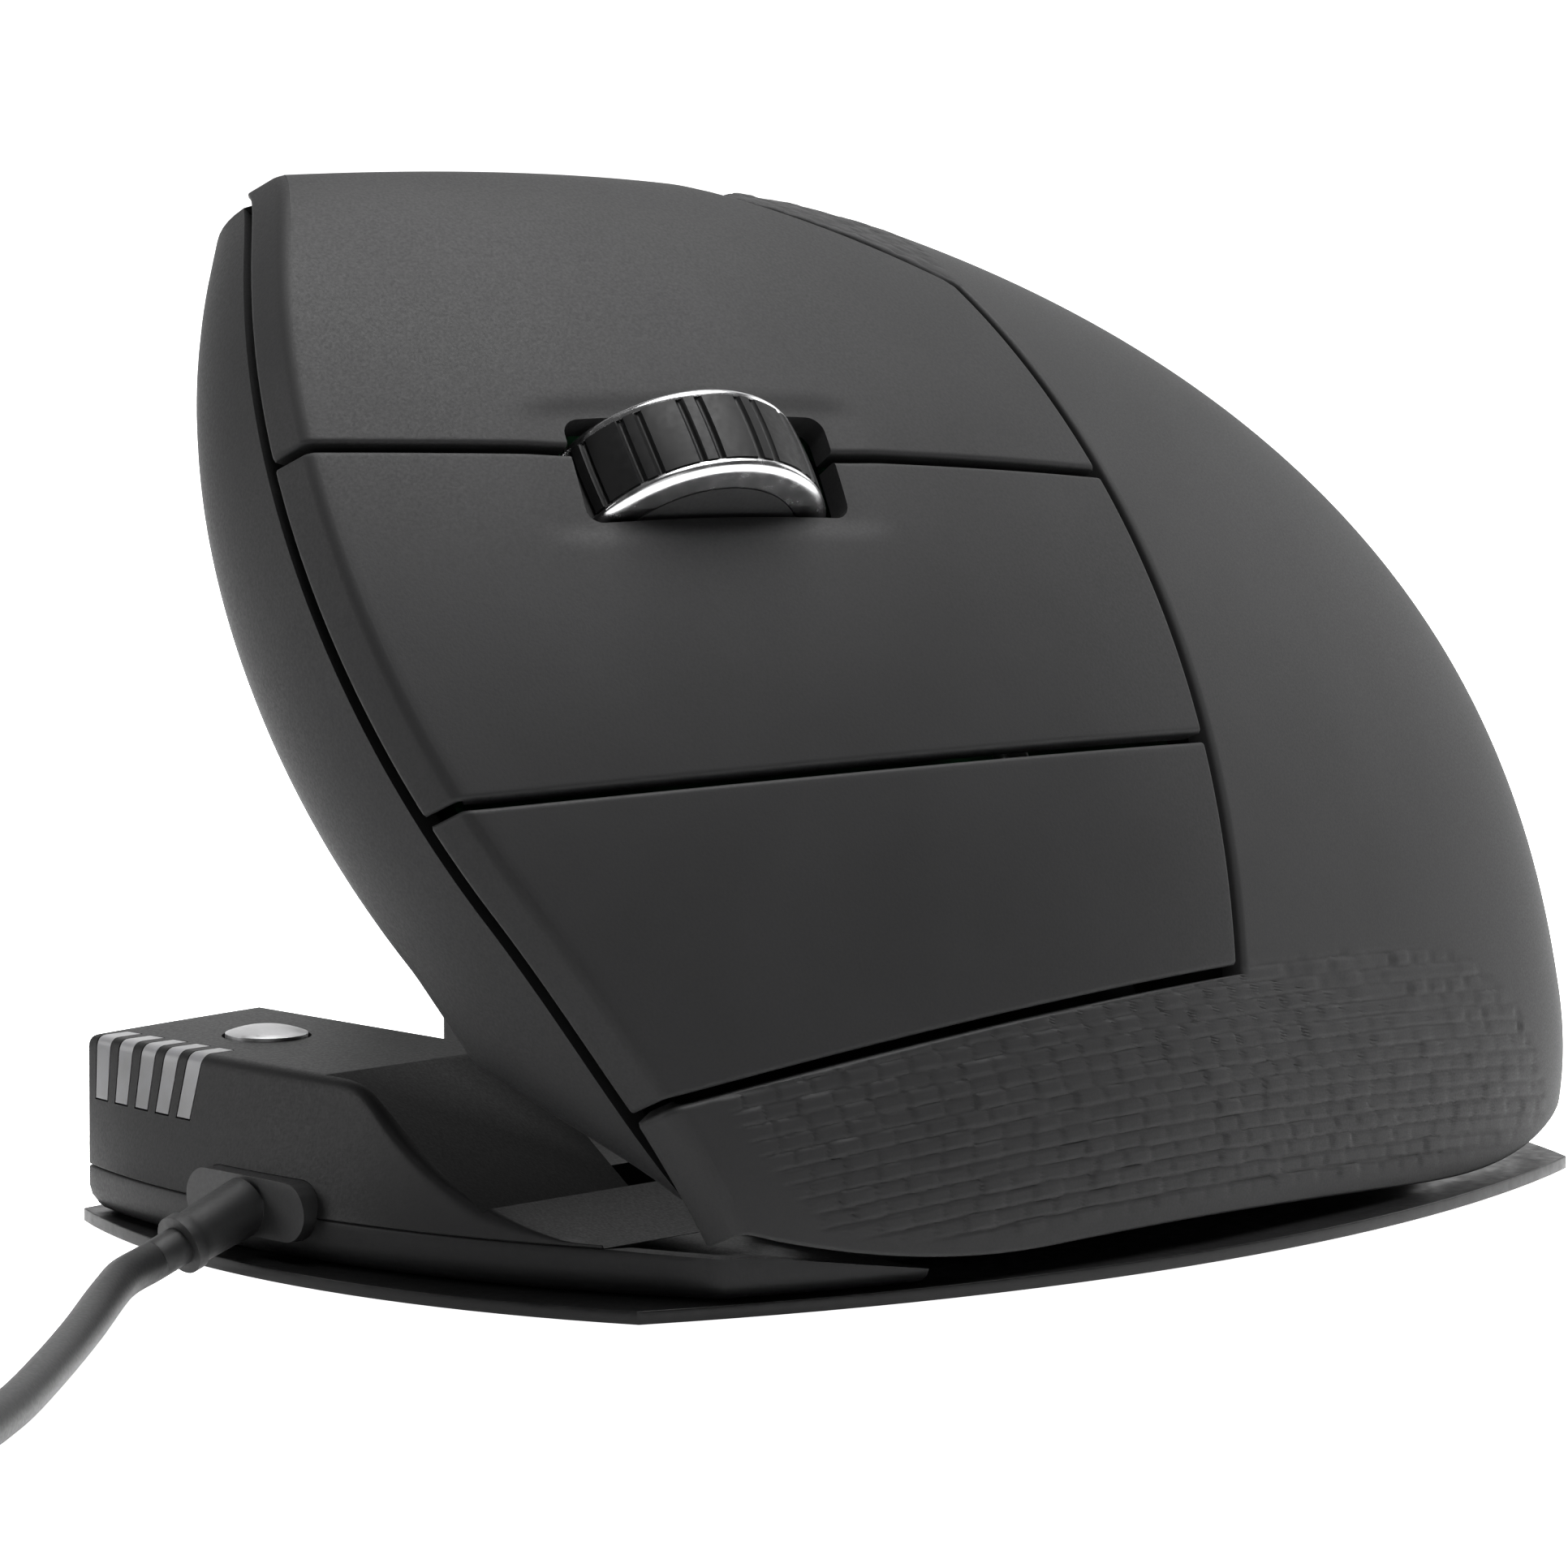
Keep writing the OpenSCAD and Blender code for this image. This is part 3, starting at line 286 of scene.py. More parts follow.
def skin(name, grid, wall, edge, place, relief=None):
    """Solid shell from a grid of surface points: rounded at its rim, one wall thick.

    The wall follows normals that are averaged over some rows, so that it stays whole in a crease.
    """
    grid = np.array(grid, float)
    normal = np.cross(np.gradient(grid, axis=1), np.gradient(grid, axis=0))
    normal /= np.linalg.norm(normal, axis=2, keepdims=True)
    padded = np.pad(normal, ((SMOOTH_REACH, SMOOTH_REACH), (0, 0), (0, 0)), mode="edge")
    normal = sum(padded[k:k + len(grid)] for k in range(2 * SMOOTH_REACH + 1))
    normal /= np.linalg.norm(normal, axis=2, keepdims=True)
    drop = np.minimum(round_drop(run(grid, 0), edge) + round_drop(run(grid, 1), edge), edge)
    rise = -drop if relief is None else relief - drop
    outer = grid + rise[..., None] * normal
    inner = grid - wall * normal
    rows, cols = grid.shape[:2]
    points = [place(*p) for side in (outer, inner) for p in side.reshape(-1, 3)]
    number = np.arange(2 * rows * cols).reshape(2, rows, cols)
    faces = []
    for side in number:
        for i in range(rows - 1):
            faces += strip(list(side[i]), list(side[i + 1]))
    rim = [list(s[0]) + list(s[1:, -1]) + list(s[-1, -2::-1]) + list(s[-2:0:-1, 0]) for s in number]
    faces += strip(rim[0], rim[1], closed=True)
    return make(name, points, [tuple(int(k) for k in f) for f in faces])


def stations(count, length, edge):
    """Shares from 0 to 1, close together over a rounded edge at both ends."""
    near = [edge / length * k for k in (0, 0.06, 0.2, 0.42, 0.7)]
    inside = [mix(edge / length, 1 - edge / length, k / count) for k in range(count + 1)]
    return near + inside + [1 - k for k in reversed(near)]


# Surface of the hand body, as in the solids. Its places are y, forward, and t, up the face

CROWN_T, CROWN_RADIUS_T = 40, 110
CROWN_Y, CROWN_RADIUS_Y = -8, 140
OVAL_Y, OVAL_T = 52, 14
OVAL_BACK, OVAL_UP, OVAL_DOWN = 109, 74, 40
OVAL_POWER = 2.25
CREST_BEND, CREST_LEVEL_Y = 0.002, 30
EDGE_POWER = 2.4
DROP_REAR, DROP_TOP = 18, 8
FRONT_Y, FRONT_T, FRONT_RADIUS = -1.7, 51.5, 54.5
FRONT_LOW_T, FRONT_FILL = 30, 0.013
REAR_SEAM_Y, REAR_SEAM_T, REAR_SEAM_RADIUS = -11, 44, 155
REAR_TURN_T, REAR_TURN = 71.5, 1.3
INDEX_SEAM_T, INDEX_SEAM_SLOPE, INDEX_SEAM_BEND = 54.2, 0.085, 0.00135
RING_SEAM_T, RING_SEAM_BEND = 33.2, 0.00105
GRIP_SEAM_Y, GRIP_SEAM_T, GRIP_SEAM_SLOPE = -8.5, 16.4, 0.034
BOTTOM_T, BOTTOM_FRONT_Y, BOTTOM_REAR_Y = 0.2, 12, -24
BOTTOM_FRONT_FLAT, BOTTOM_REAR_FLAT = 125, 4800


def crown(y, t):
    """Height of the arched face without its rounded edge."""
    over_t = (CROWN_T ** 2 - (t - CROWN_T) ** 2) / (2 * CROWN_RADIUS_T)
    return over_t - max(y - CROWN_Y, 0) ** 2 / (2 * CROWN_RADIUS_Y)


def reach_y(y):
    """How far a place lies back in the oval, as a share."""
    return max(OVAL_Y - y, 0) / OVAL_BACK


def crest(y):
    """Height of the oval's top above its middle line."""
    return OVAL_UP + CREST_BEND * max(y, 0) * (y - CREST_LEVEL_Y)


def reach_t(y, t):
    """How far a place lies up or down in the oval, as a share."""
    return (t - OVAL_T) / crest(y) if t > OVAL_T else (OVAL_T - t) / OVAL_DOWN


def oval(y, t):
    """0 in the middle of the oval, 1 on it."""
    return (reach_y(y) ** OVAL_POWER + reach_t(y, t) ** OVAL_POWER) ** (1 / OVAL_POWER)


def edge_drop(y, t):
    """How far the face falls at the oval: more at the rear than at the top."""
    side = math.sin(math.atan2(reach_t(y, t), reach_y(y) + 1e-6)) ** 2 if t > OVAL_T else 0
    return mix(DROP_REAR, DROP_TOP, side)


def face(y, t):
    share = min(oval(y, t), 1)
    return crown(y, t) - edge_drop(y, t) * (1 - max(1 - share ** EDGE_POWER, 0) ** (1 / EDGE_POWER))


def front_edge(t):
    fill = FRONT_FILL * max(FRONT_LOW_T - t, 0) ** 2
    return FRONT_Y + math.sqrt(FRONT_RADIUS ** 2 - (t - FRONT_T) ** 2) + fill


def rear_seam(t):
    bow = (t - REAR_SEAM_T) ** 2 / (2 * REAR_SEAM_RADIUS)
    return REAR_SEAM_Y + bow + REAR_TURN * max(t - REAR_TURN_T, 0)


def index_seam(y):
    ahead = y - REAR_SEAM_Y
    return INDEX_SEAM_T + INDEX_SEAM_SLOPE * ahead + INDEX_SEAM_BEND * ahead ** 2


def ring_seam(y):
    return RING_SEAM_T + RING_SEAM_BEND * (y - REAR_SEAM_Y) ** 2


def grip_seam(y):
    return GRIP_SEAM_T - GRIP_SEAM_SLOPE * (y - GRIP_SEAM_Y)


def bottom_edge(y):
    front = max(y - BOTTOM_FRONT_Y, 0) ** 2 / BOTTOM_FRONT_FLAT
    return BOTTOM_T + front + max(BOTTOM_REAR_Y - y, 0) ** 3 / BOTTOM_REAR_FLAT


def oval_top(y, share):
    """Upper t of the oval, or of a smaller one by a share."""
    return OVAL_T + crest(y) * (share ** OVAL_POWER - reach_y(y) ** OVAL_POWER) ** (1 / OVAL_POWER)


def oval_point(degrees):
    """Point y, t of the oval, from its rear end upwards."""
    a = math.radians(degrees)
    y = OVAL_Y - OVAL_BACK * math.cos(a) ** (2 / OVAL_POWER)
    if a > 0:
        return y, OVAL_T + crest(y) * math.sin(a) ** (2 / OVAL_POWER)
    return y, OVAL_T - OVAL_DOWN * (-math.sin(a)) ** (2 / OVAL_POWER)


SEAM = 0.7
SHELL_WALL = 2
KEY_WALL = 1.8
SHELL_EDGE, KEY_EDGE = 0.4, 0.35


# Palm shell, with a relief of small staggered bricks on its lower grip

BRICK_LONG, BRICK_HIGH = 2.6, 1.1
BRICK_STEP, BRICK_GROOVE, GROOVE_HALF = 0.10, 0.11, 0.22
GRIP_REAR_Y, GRIP_LONG, GRIP_HIGH = -26, 23.5, 17.3
GRIP_FRONT_GAP, GRIP_LOW_GAP, GRIP_BORDER = 2.8, 0.7, 1.2


def brick_value(row, place):
    """Repeatable number from 0 to 1 for one brick, by the usual sine hash."""
    return math.sin(row * 12.9898 + place * 78.233) * 43758.5453 % 1


def brick_relief(y, t):
    """Height of the bricks: each a little higher or lower, with a groove round it."""
    row = math.floor(t / BRICK_HIGH)
    along = y / BRICK_LONG + brick_value(row, 0.5)
    place = math.floor(along)
    side = min(along - place, place + 1 - along) * BRICK_LONG
    ends = min(t / BRICK_HIGH - row, row + 1 - t / BRICK_HIGH) * BRICK_HIGH
    groove = 1 - ramp(0, GROOVE_HALF, min(side, ends))
    return BRICK_STEP * (brick_value(row, place) - 0.5) - BRICK_GROOVE * groove


def grip_share(y, t):
    """1 on the textured grip, 0 outside it, with a soft border."""
    rear = (max(GRIP_REAR_Y - y, 0) / GRIP_LONG) ** 2.4 + (max(t, 0) / GRIP_HIGH) ** 2
    front = ramp(0, GRIP_BORDER, front_edge(max(t, 5)) - GRIP_FRONT_GAP - y)
    low = ramp(0, GRIP_BORDER, t - bottom_edge(y) - GRIP_LOW_GAP)
    return front * low * (ramp(0, 0.09, 1 - rear) if y < GRIP_SEAM_Y else 1)


PALM_LOW, PALM_HIGH = -8, 66
PALM_FRONT_T, PALM_TIP_T, PALM_TOP_T = 14.6, 8, 81.6
PALM_LONG, PALM_SIDE, PALM_ACROSS = 54, 60, 30
PALM_TURN = 0.35
PALM_CREASE, KEY_CREASE = 1.1, 0.7
SKIRT, SKIRT_OUT, SKIRT_ROUND = 3.5, 0.4, 0.4


def front_rows(edge, nearby, crease):
    """Rows over the front end of a shell: round the crease along its edge and down the skirt."""
    corner = np.array(edge)
    back = np.array(nearby) - corner
    back /= np.linalg.norm(back, axis=1, keepdims=True)
    down = np.array((0, SKIRT_OUT, -SKIRT))
    down = down / np.linalg.norm(down)
    rows = []
    for k in range(1, 9):
        a = math.pi / 2 * k / 8
        rows.append(corner + crease * ((1 - math.sin(a)) * back + (1 - math.cos(a)) * down))
    straight = [1.4, 1.9, 2.4]
    end = [SKIRT - short for short in (SKIRT_ROUND, 0.25, 0.12, 0.04, 0)]
    for depth in straight + end:
        rows.append(corner + depth * down)
    return rows


def palm_line(k):
    """The two ends of line k across the palm shell: on the seams, and on the outer edge."""
    if k < 1:
        y = mix(front_edge(PALM_FRONT_T), rear_seam(GRIP_SEAM_T) + SEAM / 2, k)
        low = mix(front_edge(PALM_TIP_T), oval_point(PALM_LOW)[0], k)
        return (y, grip_seam(y) - SEAM / 2), (low, bottom_edge(low))
    t = mix(GRIP_SEAM_T - SEAM / 2, PALM_TOP_T, k - 1)
    return (rear_seam(t) - SEAM / 2, t), oval_point(mix(PALM_LOW, PALM_HIGH, k - 1))


def palm():
    """Shell from lines across it, front tip to top, closest over the grip and the turn behind it."""
    fine = stations(270, PALM_LONG, SHELL_EDGE)
    turn = [1 + PALM_TURN * k / 110 for k in range(1, 111)]
    rest = [1 + PALM_TURN + (1 - PALM_TURN) * k for k in stations(110, PALM_SIDE, SHELL_EDGE)[1:]]
    lines = [0] + [k for k in fine if PALM_CREASE / PALM_LONG < k < 1] + [1] + turn + rest
    across = [1 - (1 - k) ** 1.25 for k in stations(100, PALM_ACROSS, SHELL_EDGE)]
    grid, relief = [], []
    for k in lines:
        start, stop = palm_line(k)
        spots = [(mix(start[0], stop[0], s), mix(start[1], stop[1], s)) for s in across]
        grid.append([(t, y, face(y, t)) for y, t in spots])
        relief.append([grip_share(y, t) * brick_relief(y, t) for y, t in spots])
    front = front_rows(grid[0], grid[1], PALM_CREASE)[::-1]
    grid = front + grid[1:]
    relief = [[0] * len(across)] * len(front) + relief[1:]
    piece = skin("palm_shell_fine", grid, SHELL_WALL, SHELL_EDGE, on_body, np.array(relief))
    finish_piece(piece, "hand_body", SOFT, ["palm_shell"])


palm()


# Finger keys: the skin turns over a soft crease at the front into a short skirt

WHEEL_T, WHEEL_Y, WHEEL_N = 56, 23.9, -5
WHEEL_LEAN, WHEEL_TURN = math.radians(18), math.radians(-12)
WHEEL_D, WHEEL_W = 20, 7.4
SLOT_HALF = WHEEL_W / 2 + 0.5
SLOT_REAR, SLOT_FRONT, SLOT_ROUND = -9, 11, 1.2
DISH_DEEP, DISH_WIDE = 0.3, 4
KEY_LONG, KEY_ACROSS = 58, 20
INDEX_TOP = 0.996
WHEEL_SPIN = Matrix.Rotation(WHEEL_TURN, 3, "Z") @ Matrix.Rotation(WHEEL_LEAN, 3, "Y")


def in_wheel(x, y, z):
    """Point of the wheel's frame, axle along x, turned into the face frame and then into metres."""
    t, forward, n = WHEEL_SPIN @ Vector((x, y, z)) + Vector((WHEEL_T, WHEEL_Y, WHEEL_N))
    return on_body(t, forward, n)


def slot_dish(y, t):
    """Shallow dish round the wheel's slot."""
    local = WHEEL_SPIN.transposed() @ Vector((t - WHEEL_T, y - WHEEL_Y, face(y, t) - WHEEL_N))
    side = max(abs(local.x) - SLOT_HALF, 0)
    ends = max(SLOT_REAR - local.y, local.y - SLOT_FRONT, 0)
    return DISH_DEEP * (1 - ramp(0, DISH_WIDE, math.hypot(2 * side, ends)))


def key_spot(low, high, u, v):
    """Point of a key between two seams: u runs from the rear seam to the front, v across.

    The seams bend, so the point is found in a few rounds from a first guess.
    """
    y = mix(-10, 48, u)
    for _ in range(6):
        t = mix(low(y), high(y), v)
        y = mix(rear_seam(t) + SEAM / 2, front_edge(t), u)
    return y, mix(low(y), high(y), v)


def key_solid(name, low, high, dished):
    """Key between two seams, with a skirt at its front."""
    across = stations(48, KEY_ACROSS, SHELL_EDGE)
    rows = []
    for u in stations(96, KEY_LONG, SHELL_EDGE):
        if u > 1 - KEY_CREASE / KEY_LONG:
            break
        spots = [key_spot(low, high, u, v) for v in across]
        rows.append([(t, y, face(y, t) - (slot_dish(y, t) if dished else 0)) for y, t in spots])
    edge = [(t, y, face(y, t)) for y, t in (key_spot(low, high, 1, v) for v in across)]
    rows += front_rows(edge, rows[-1], KEY_CREASE)
    return skin(name, rows, KEY_WALL, KEY_EDGE, on_body)


def combine(piece, operation, tools):
    """Works tools into a piece one after another, then removes the tools."""
    for tool in tools:
        change = piece.modifiers.new("combine", "BOOLEAN")
        change.operation = operation
        change.solver = "EXACT"
        change.object = tool
    settle(piece)
    for tool in tools:
        bpy.data.objects.remove(tool)


def cut(piece, *tools):
    """Takes the tools' volume out of a piece."""
    combine(piece, "DIFFERENCE", tools)


def keep(piece, tool):
    """Keeps what a piece and a tool have in common."""
    combine(piece, "INTERSECT", [tool])


def settle(piece):
    """Makes a piece's modifiers part of its mesh."""
    bpy.context.view_layer.update()
    shape = piece.evaluated_get(bpy.context.evaluated_depsgraph_get())
    mesh = bpy.data.meshes.new_from_object(shape)
    piece.modifiers.clear()
    piece.data = mesh
    mesh.shade_smooth()
    mesh.set_sharp_from_angle(angle=math.radians(SHARP_ANGLE))


def prism(name, outline, low, high, place):
    """Straight block over a closed outline, from low to high in its third direction."""
    count = len(outline)
    points = [place(a, b, h) for h in (low, high) for a, b in outline]
    floor, roof = list(range(count)), list(range(count, 2 * count))
    return make(name, points, strip(floor, roof, closed=True) + [tuple(floor), tuple(roof)])


def rounded_box(left, right, rear, front, radius, steps=6):
    """Closed outline of a box with round corners."""
    centres = ((right, front, 0), (left, front, 90), (left, rear, 180), (right, rear, 270))
    outline = []
    for x, y, first in centres:
        x += -radius if x == right else radius
        y += -radius if y == front else radius
        for k in range(steps + 1):
            a = math.radians(first + 90 * k / steps)
            outline.append((x + radius * math.cos(a), y + radius * math.sin(a)))
    return outline


def wheel_slot():
    outline = rounded_box(-SLOT_HALF, SLOT_HALF, SLOT_REAR, SLOT_FRONT, SLOT_ROUND)
    return prism("slot_tool", outline, -3, 20, in_wheel)


def above(seam):
    """Lower side of a key: half a gap above a seam."""
    return lambda y: seam(y) + SEAM / 2


def below(seam):
    """Upper side of a key: half a gap below a seam."""
    return lambda y: seam(y) - SEAM / 2


def index_top(y):
    return oval_top(y, INDEX_TOP)


def keys():
    index = key_solid("index_key_fine", above(index_seam), index_top, True)
    middle = key_solid("middle_key_fine", above(ring_seam), below(index_seam), True)
    ring = key_solid("ring_key_fine", above(grip_seam), below(ring_seam), False)
    cut(index, wheel_slot())
    cut(middle, wheel_slot())
    finish_piece(index, "index_button", KEY, ["index_key"])
    finish_piece(middle, "middle_button", KEY, ["middle_key"])
    finish_piece(ring, "ring_button", KEY, ["ring_key"])


keys()


# Back shell: a tray whose round side runs from the rim to the back, which bends in two places

BACK_N, BACK_ROUND, BACK_CUT = -22, 5, 17.5
BACK_BEND_T, BACK_LEAN = 30, 0.11
BACK_POWER = 2.3
CHIN_T, CHIN_BEND_T, CHIN_SLOPE = 8.6, 22.8, 0.82
CHIN_REAR_Y, CHIN_BLEND = 22, 8
RIM_DROP, RIM_GAP = 4.7, 0.55
RIM_TOP_T, RIM_LEAST = 87, 1.2
RIM_OVAL_HIGH, RIM_OVAL_LOW = 82.5, 1.5
RIM_MIDDLE = Vector((4, 50))


def chin_share(y):
    """0 over the hinge, 1 in front of it, where the back reaches further down."""
    return min(max((y - CHIN_REAR_Y) / CHIN_BLEND, 0), 1)


def back_at(y, t):
    """Place of the back face: flat, further out above a bend and further in over the chin."""
    lean = BACK_LEAN * max(t - BACK_BEND_T, 0)
    return BACK_N - lean + chin_share(y) * CHIN_SLOPE * max(CHIN_BEND_T - t, 0)


def rim_points():
    """Top of the rim as y, t, n: up the front, round the oval, and along the straight lower edge."""
    front = [mix(CHIN_T, RIM_TOP_T, k / 100) for k in range(101)]
    rim = [(front_edge(t), t, face(front_edge(t), t) - RIM_DROP) for t in front]
    for k in range(1, 141):
        y, t = oval_point(mix(RIM_OVAL_HIGH, RIM_OVAL_LOW, k / 140))
        rim.append((y, t, crown(y, t) - edge_drop(y, t) - RIM_GAP))
    for k in range(1, 60):
        y = mix(OVAL_Y - OVAL_BACK, front_edge(CHIN_T), k / 60)
        t = mix(BACK_CUT, CHIN_T, chin_share(y))
        rim.append((y, t, back_at(y, t) + SHELL_WALL))
    return rim


def rim_loop(rim, inset, low, wall):
    """Loop inside the rim by an inset, at a share of the way down to the back."""
    loop = []
    for y, t, n in rim:
        here = Vector((y, t))
        inner_y, inner_t = here + inset * (RIM_MIDDLE - here).normalized()
        bottom = back_at(inner_y, inner_t) + wall
        top = max(n, back_at(y, t) + RIM_LEAST)
        loop.append((inner_t, inner_y, mix(top, bottom, low)))
    return loop


def back_loop(rim, share, wall):
    """Loop on the back, at a share of the way from its round side to the middle."""
    loop = []
    for y, t, n in rim:
        here = Vector((y, t))
        edge = here + (BACK_ROUND + wall) * (RIM_MIDDLE - here).normalized()
        inner_y, inner_t = edge.lerp(RIM_MIDDLE, share)
        loop.append((inner_t, inner_y, back_at(inner_y, inner_t) + wall))
    return loop


def loft(name, loops, start, finish, place):
    """Closed skin over a stack of equal loops, each end closed with a fan."""
    size = len(loops[0])
    points = [place(*p) for loop in loops for p in loop] + [place(*start), place(*finish)]
    rows = [list(range(k * size, (k + 1) * size)) for k in range(len(loops))]
    faces = []
    for first, second in zip(rows, rows[1:]):
        faces += strip(first, second, closed=True)
    for row, tip in ((rows[0], len(points) - 2), (rows[-1], len(points) - 1)):
        faces += [(row[k], row[(k + 1) % size], tip) for k in range(size)]
    return make(name, points, faces)


def back():
    rim = rim_points()
    loops = [back_loop(rim, share, 0) for share in (0.8, 0.5, 0.25, 0.1)]
    for k in range(13):
        a = math.pi / 2 * (1 - k / 12)
        inset = BACK_ROUND * (1 - math.cos(a) ** (2 / BACK_POWER))
        loops.append(rim_loop(rim, inset, math.sin(a) ** (2 / BACK_POWER), 0))
    loops.append(rim_loop(rim, SHELL_WALL, 0, 0))
    loops.append(rim_loop(rim, SHELL_WALL + 0.6, 0.5, SHELL_WALL))
    loops.append(rim_loop(rim, BACK_ROUND + SHELL_WALL, 1, SHELL_WALL))
    loops += [back_loop(rim, share, SHELL_WALL) for share in (0.25, 0.5)]
    middle = (RIM_MIDDLE[1], RIM_MIDDLE[0])
    back_n = back_at(*RIM_MIDDLE)
    piece = loft("back_shell_fine", loops, (*middle, back_n), (*middle, back_n + SHELL_WALL), on_body)
    finish_piece(piece, "hand_body", BACK, ["back_shell"])


back()


# Scroll wheel: a tyre with pairs of grooves, and a bright rounded ring on each side

RIB_COUNT, RIB_HALF, RIB_DEEP = 14, 4.0, 0.35
RIB_INNER, RIB_OUTER = 0.7, 1.7
TYRE_DEEP, TYRE_CROWN = 2.4, 0.12
RING_WALL, RING_LOW, RING_ROUND, RING_FLAT = 0.9, 0.95, 0.8, 0.25
RING_WIDE, RING_GAP, RING_END = 0.62, 0.02, 0.03
TURN_SHARP_ANGLE = 50


def turned(name, profile, steps, height=None):
    """Ring turned about the wheel's axle from a closed profile of (x, radius, outer).

    Outer points also rise by a height that depends on the angle.
    """
    points = []
    for k in range(steps):
        a = 2 * math.pi * k / steps
        rise = height(math.degrees(a)) if height else 0
        for x, r, outer in profile:
            reach = r + (rise if outer else 0)
            points.append(in_wheel(x, reach * math.sin(a), reach * math.cos(a)))
    size = len(profile)
    rows = [list(range(k * size, (k + 1) * size)) for k in range(steps)]
    faces = []
    for k in range(steps):
        faces += strip(rows[k], rows[(k + 1) % steps], closed=True)
    return make(name, points, faces, TURN_SHARP_ANGLE)


def rib_height(degrees):
    """Two grooves on each rib pitch, one at either side of its middle."""
    pitch = 360 / RIB_COUNT
    away = abs((degrees + pitch / 2) % pitch - pitch / 2)
    return -RIB_DEEP * (1 - ramp(RIB_INNER, RIB_OUTER, abs(away - RIB_HALF)))


def wheel():
    half = WHEEL_W / 2 - RING_WALL
    outer = WHEEL_D / 2
    inner = outer - TYRE_DEEP
    tyre = [(mix(-half, half, k / 12), outer - TYRE_CROWN * (2 * k / 12 - 1) ** 2, True) for k in range(13)]
    tyre += [(half, inner, False), (-half, inner, False)]
    piece = turned("wheel_tyre_fine", tyre, RIB_COUNT * 36, rib_height)
    finish_piece(piece, "scroll_wheel", TYRE, ["wheel_tyre"])
    rings = []
    for side in (-1, 1):
        near = side * (half + RING_GAP)
        profile = [(near, inner, False), (near, outer - RING_FLAT, False)]
        for k in range(9):
            a = math.pi / 2 * k / 8
            x = half + RING_FLAT + RING_WIDE * math.sin(a)
            profile.append((side * x, outer - RING_LOW + RING_ROUND * math.cos(a), False))
        profile.append((side * (WHEEL_W / 2 - RING_END), inner, False))
        rings.append(turned("wheel_ring_%s" % ("low" if side < 0 else "high"), profile, 180))
    finish_piece(rings[0], "scroll_wheel", CHROME, ["wheel_rings"])
    finish_piece(rings[1], "scroll_wheel", CHROME)


wheel()


# Base housings: plan of large arcs, the front block's top edge straight, a slope on its left

SIDE_ARCS = [(75, -8, 115.5), (-269.5, 4, 300), (-5, 4, 60)]
HOUSING_ARC = (7, -20.9, 69.6)
HOUSING_INSET = 0.6
BLOCK_Y = 45
COVER_TOP, BASE_FLOOR, PARTING, DECK, HOUSING_H = 1.2, 3, 4.5, 6.5, 14
CEILING = HOUSING_H - 1.4
BASE_WALL = 2.6
BLOCK_EDGE, BLOCK_LIP, BLOCK_LEAST = 0.9, 0.18, 0.4
BLOCK_REAR_Y, BLOCK_REAR_ROUND = 27, 1
SLOPE_X, SLOPE_LOW, SLOPE_FLAT = -26, 4.4, 55
SLOPE_END_X, SLOPE_SOFT = -23.4, 0.6
LEFT_X, LEFT_Y = -12, 22
HINGE_X, HINGE_Z, HINGE_ROOM_X = -22, 8, -8
LEAN_STEPS = [15, 22, 30]
LEAN_UP, LEAN_THROUGH = (4.8, 90), (-8.4, 40)
DPI_X, DPI_Y, DPI_D = 17.7, 36.1, 6
GLAND_X, GLAND_Z = 5.2, 4.8
GLAND_HALF_W, GLAND_HALF_H = 6.45, 2.15
SENSOR_X, SENSOR_Y, SENSOR_D = 8, -2, 11
BAR_COUNT, BAR_FIRST, BAR_PITCH, BAR_W = 5, 14.9, 2.6, 1.5
BAR_Y, BAR_Z, BAR_GAP = 42.2, 9.5, 0.12
LINK_Y, LINK_Z, LINK_END = (41.2, 42.5), (9.7, 11.4), 0.8
PLAN_STEPS = 360

# Blocks that cut the base reach this far, which is beyond its edges
OUT, OUT_Y, OUT_Z = 60, 80, 20


def plan_reach(a, inset):
    """Distance from the middle of the base to its plan at an angle."""
    reach = []
    for x, y, r in [HOUSING_ARC] + SIDE_ARCS:
        along = x * math.cos(a) + y * math.sin(a)
        reach.append(along + math.sqrt(along * along - x * x - y * y + (r - inset) ** 2))
    return min(reach)


def top_reach(a, inset):
    """The same at the top, where the front edge is straight."""
    return min(plan_reach(a, inset), BLOCK_Y / max(math.sin(a), 0.01))


def slope_z(x):
    return SLOPE_LOW + (x - SLOPE_X) ** 2 / SLOPE_FLAT


def roof(x):
    """Height of the front block: flat, with a soft crease into the slope on its left."""
    low = slope_z(max(x, SLOPE_END_X))
    return low - SLOPE_SOFT * math.log(1 + math.exp((low - HOUSING_H) / SLOPE_SOFT))


def wall_point(a, z):
    """Point on the leaning front wall at an angle and height."""
    share = (z - PARTING) / (HOUSING_H - PARTING)
    r = mix(plan_reach(a, HOUSING_INSET), top_reach(a, HOUSING_INSET), share)
    return r * math.cos(a), r * math.sin(a)


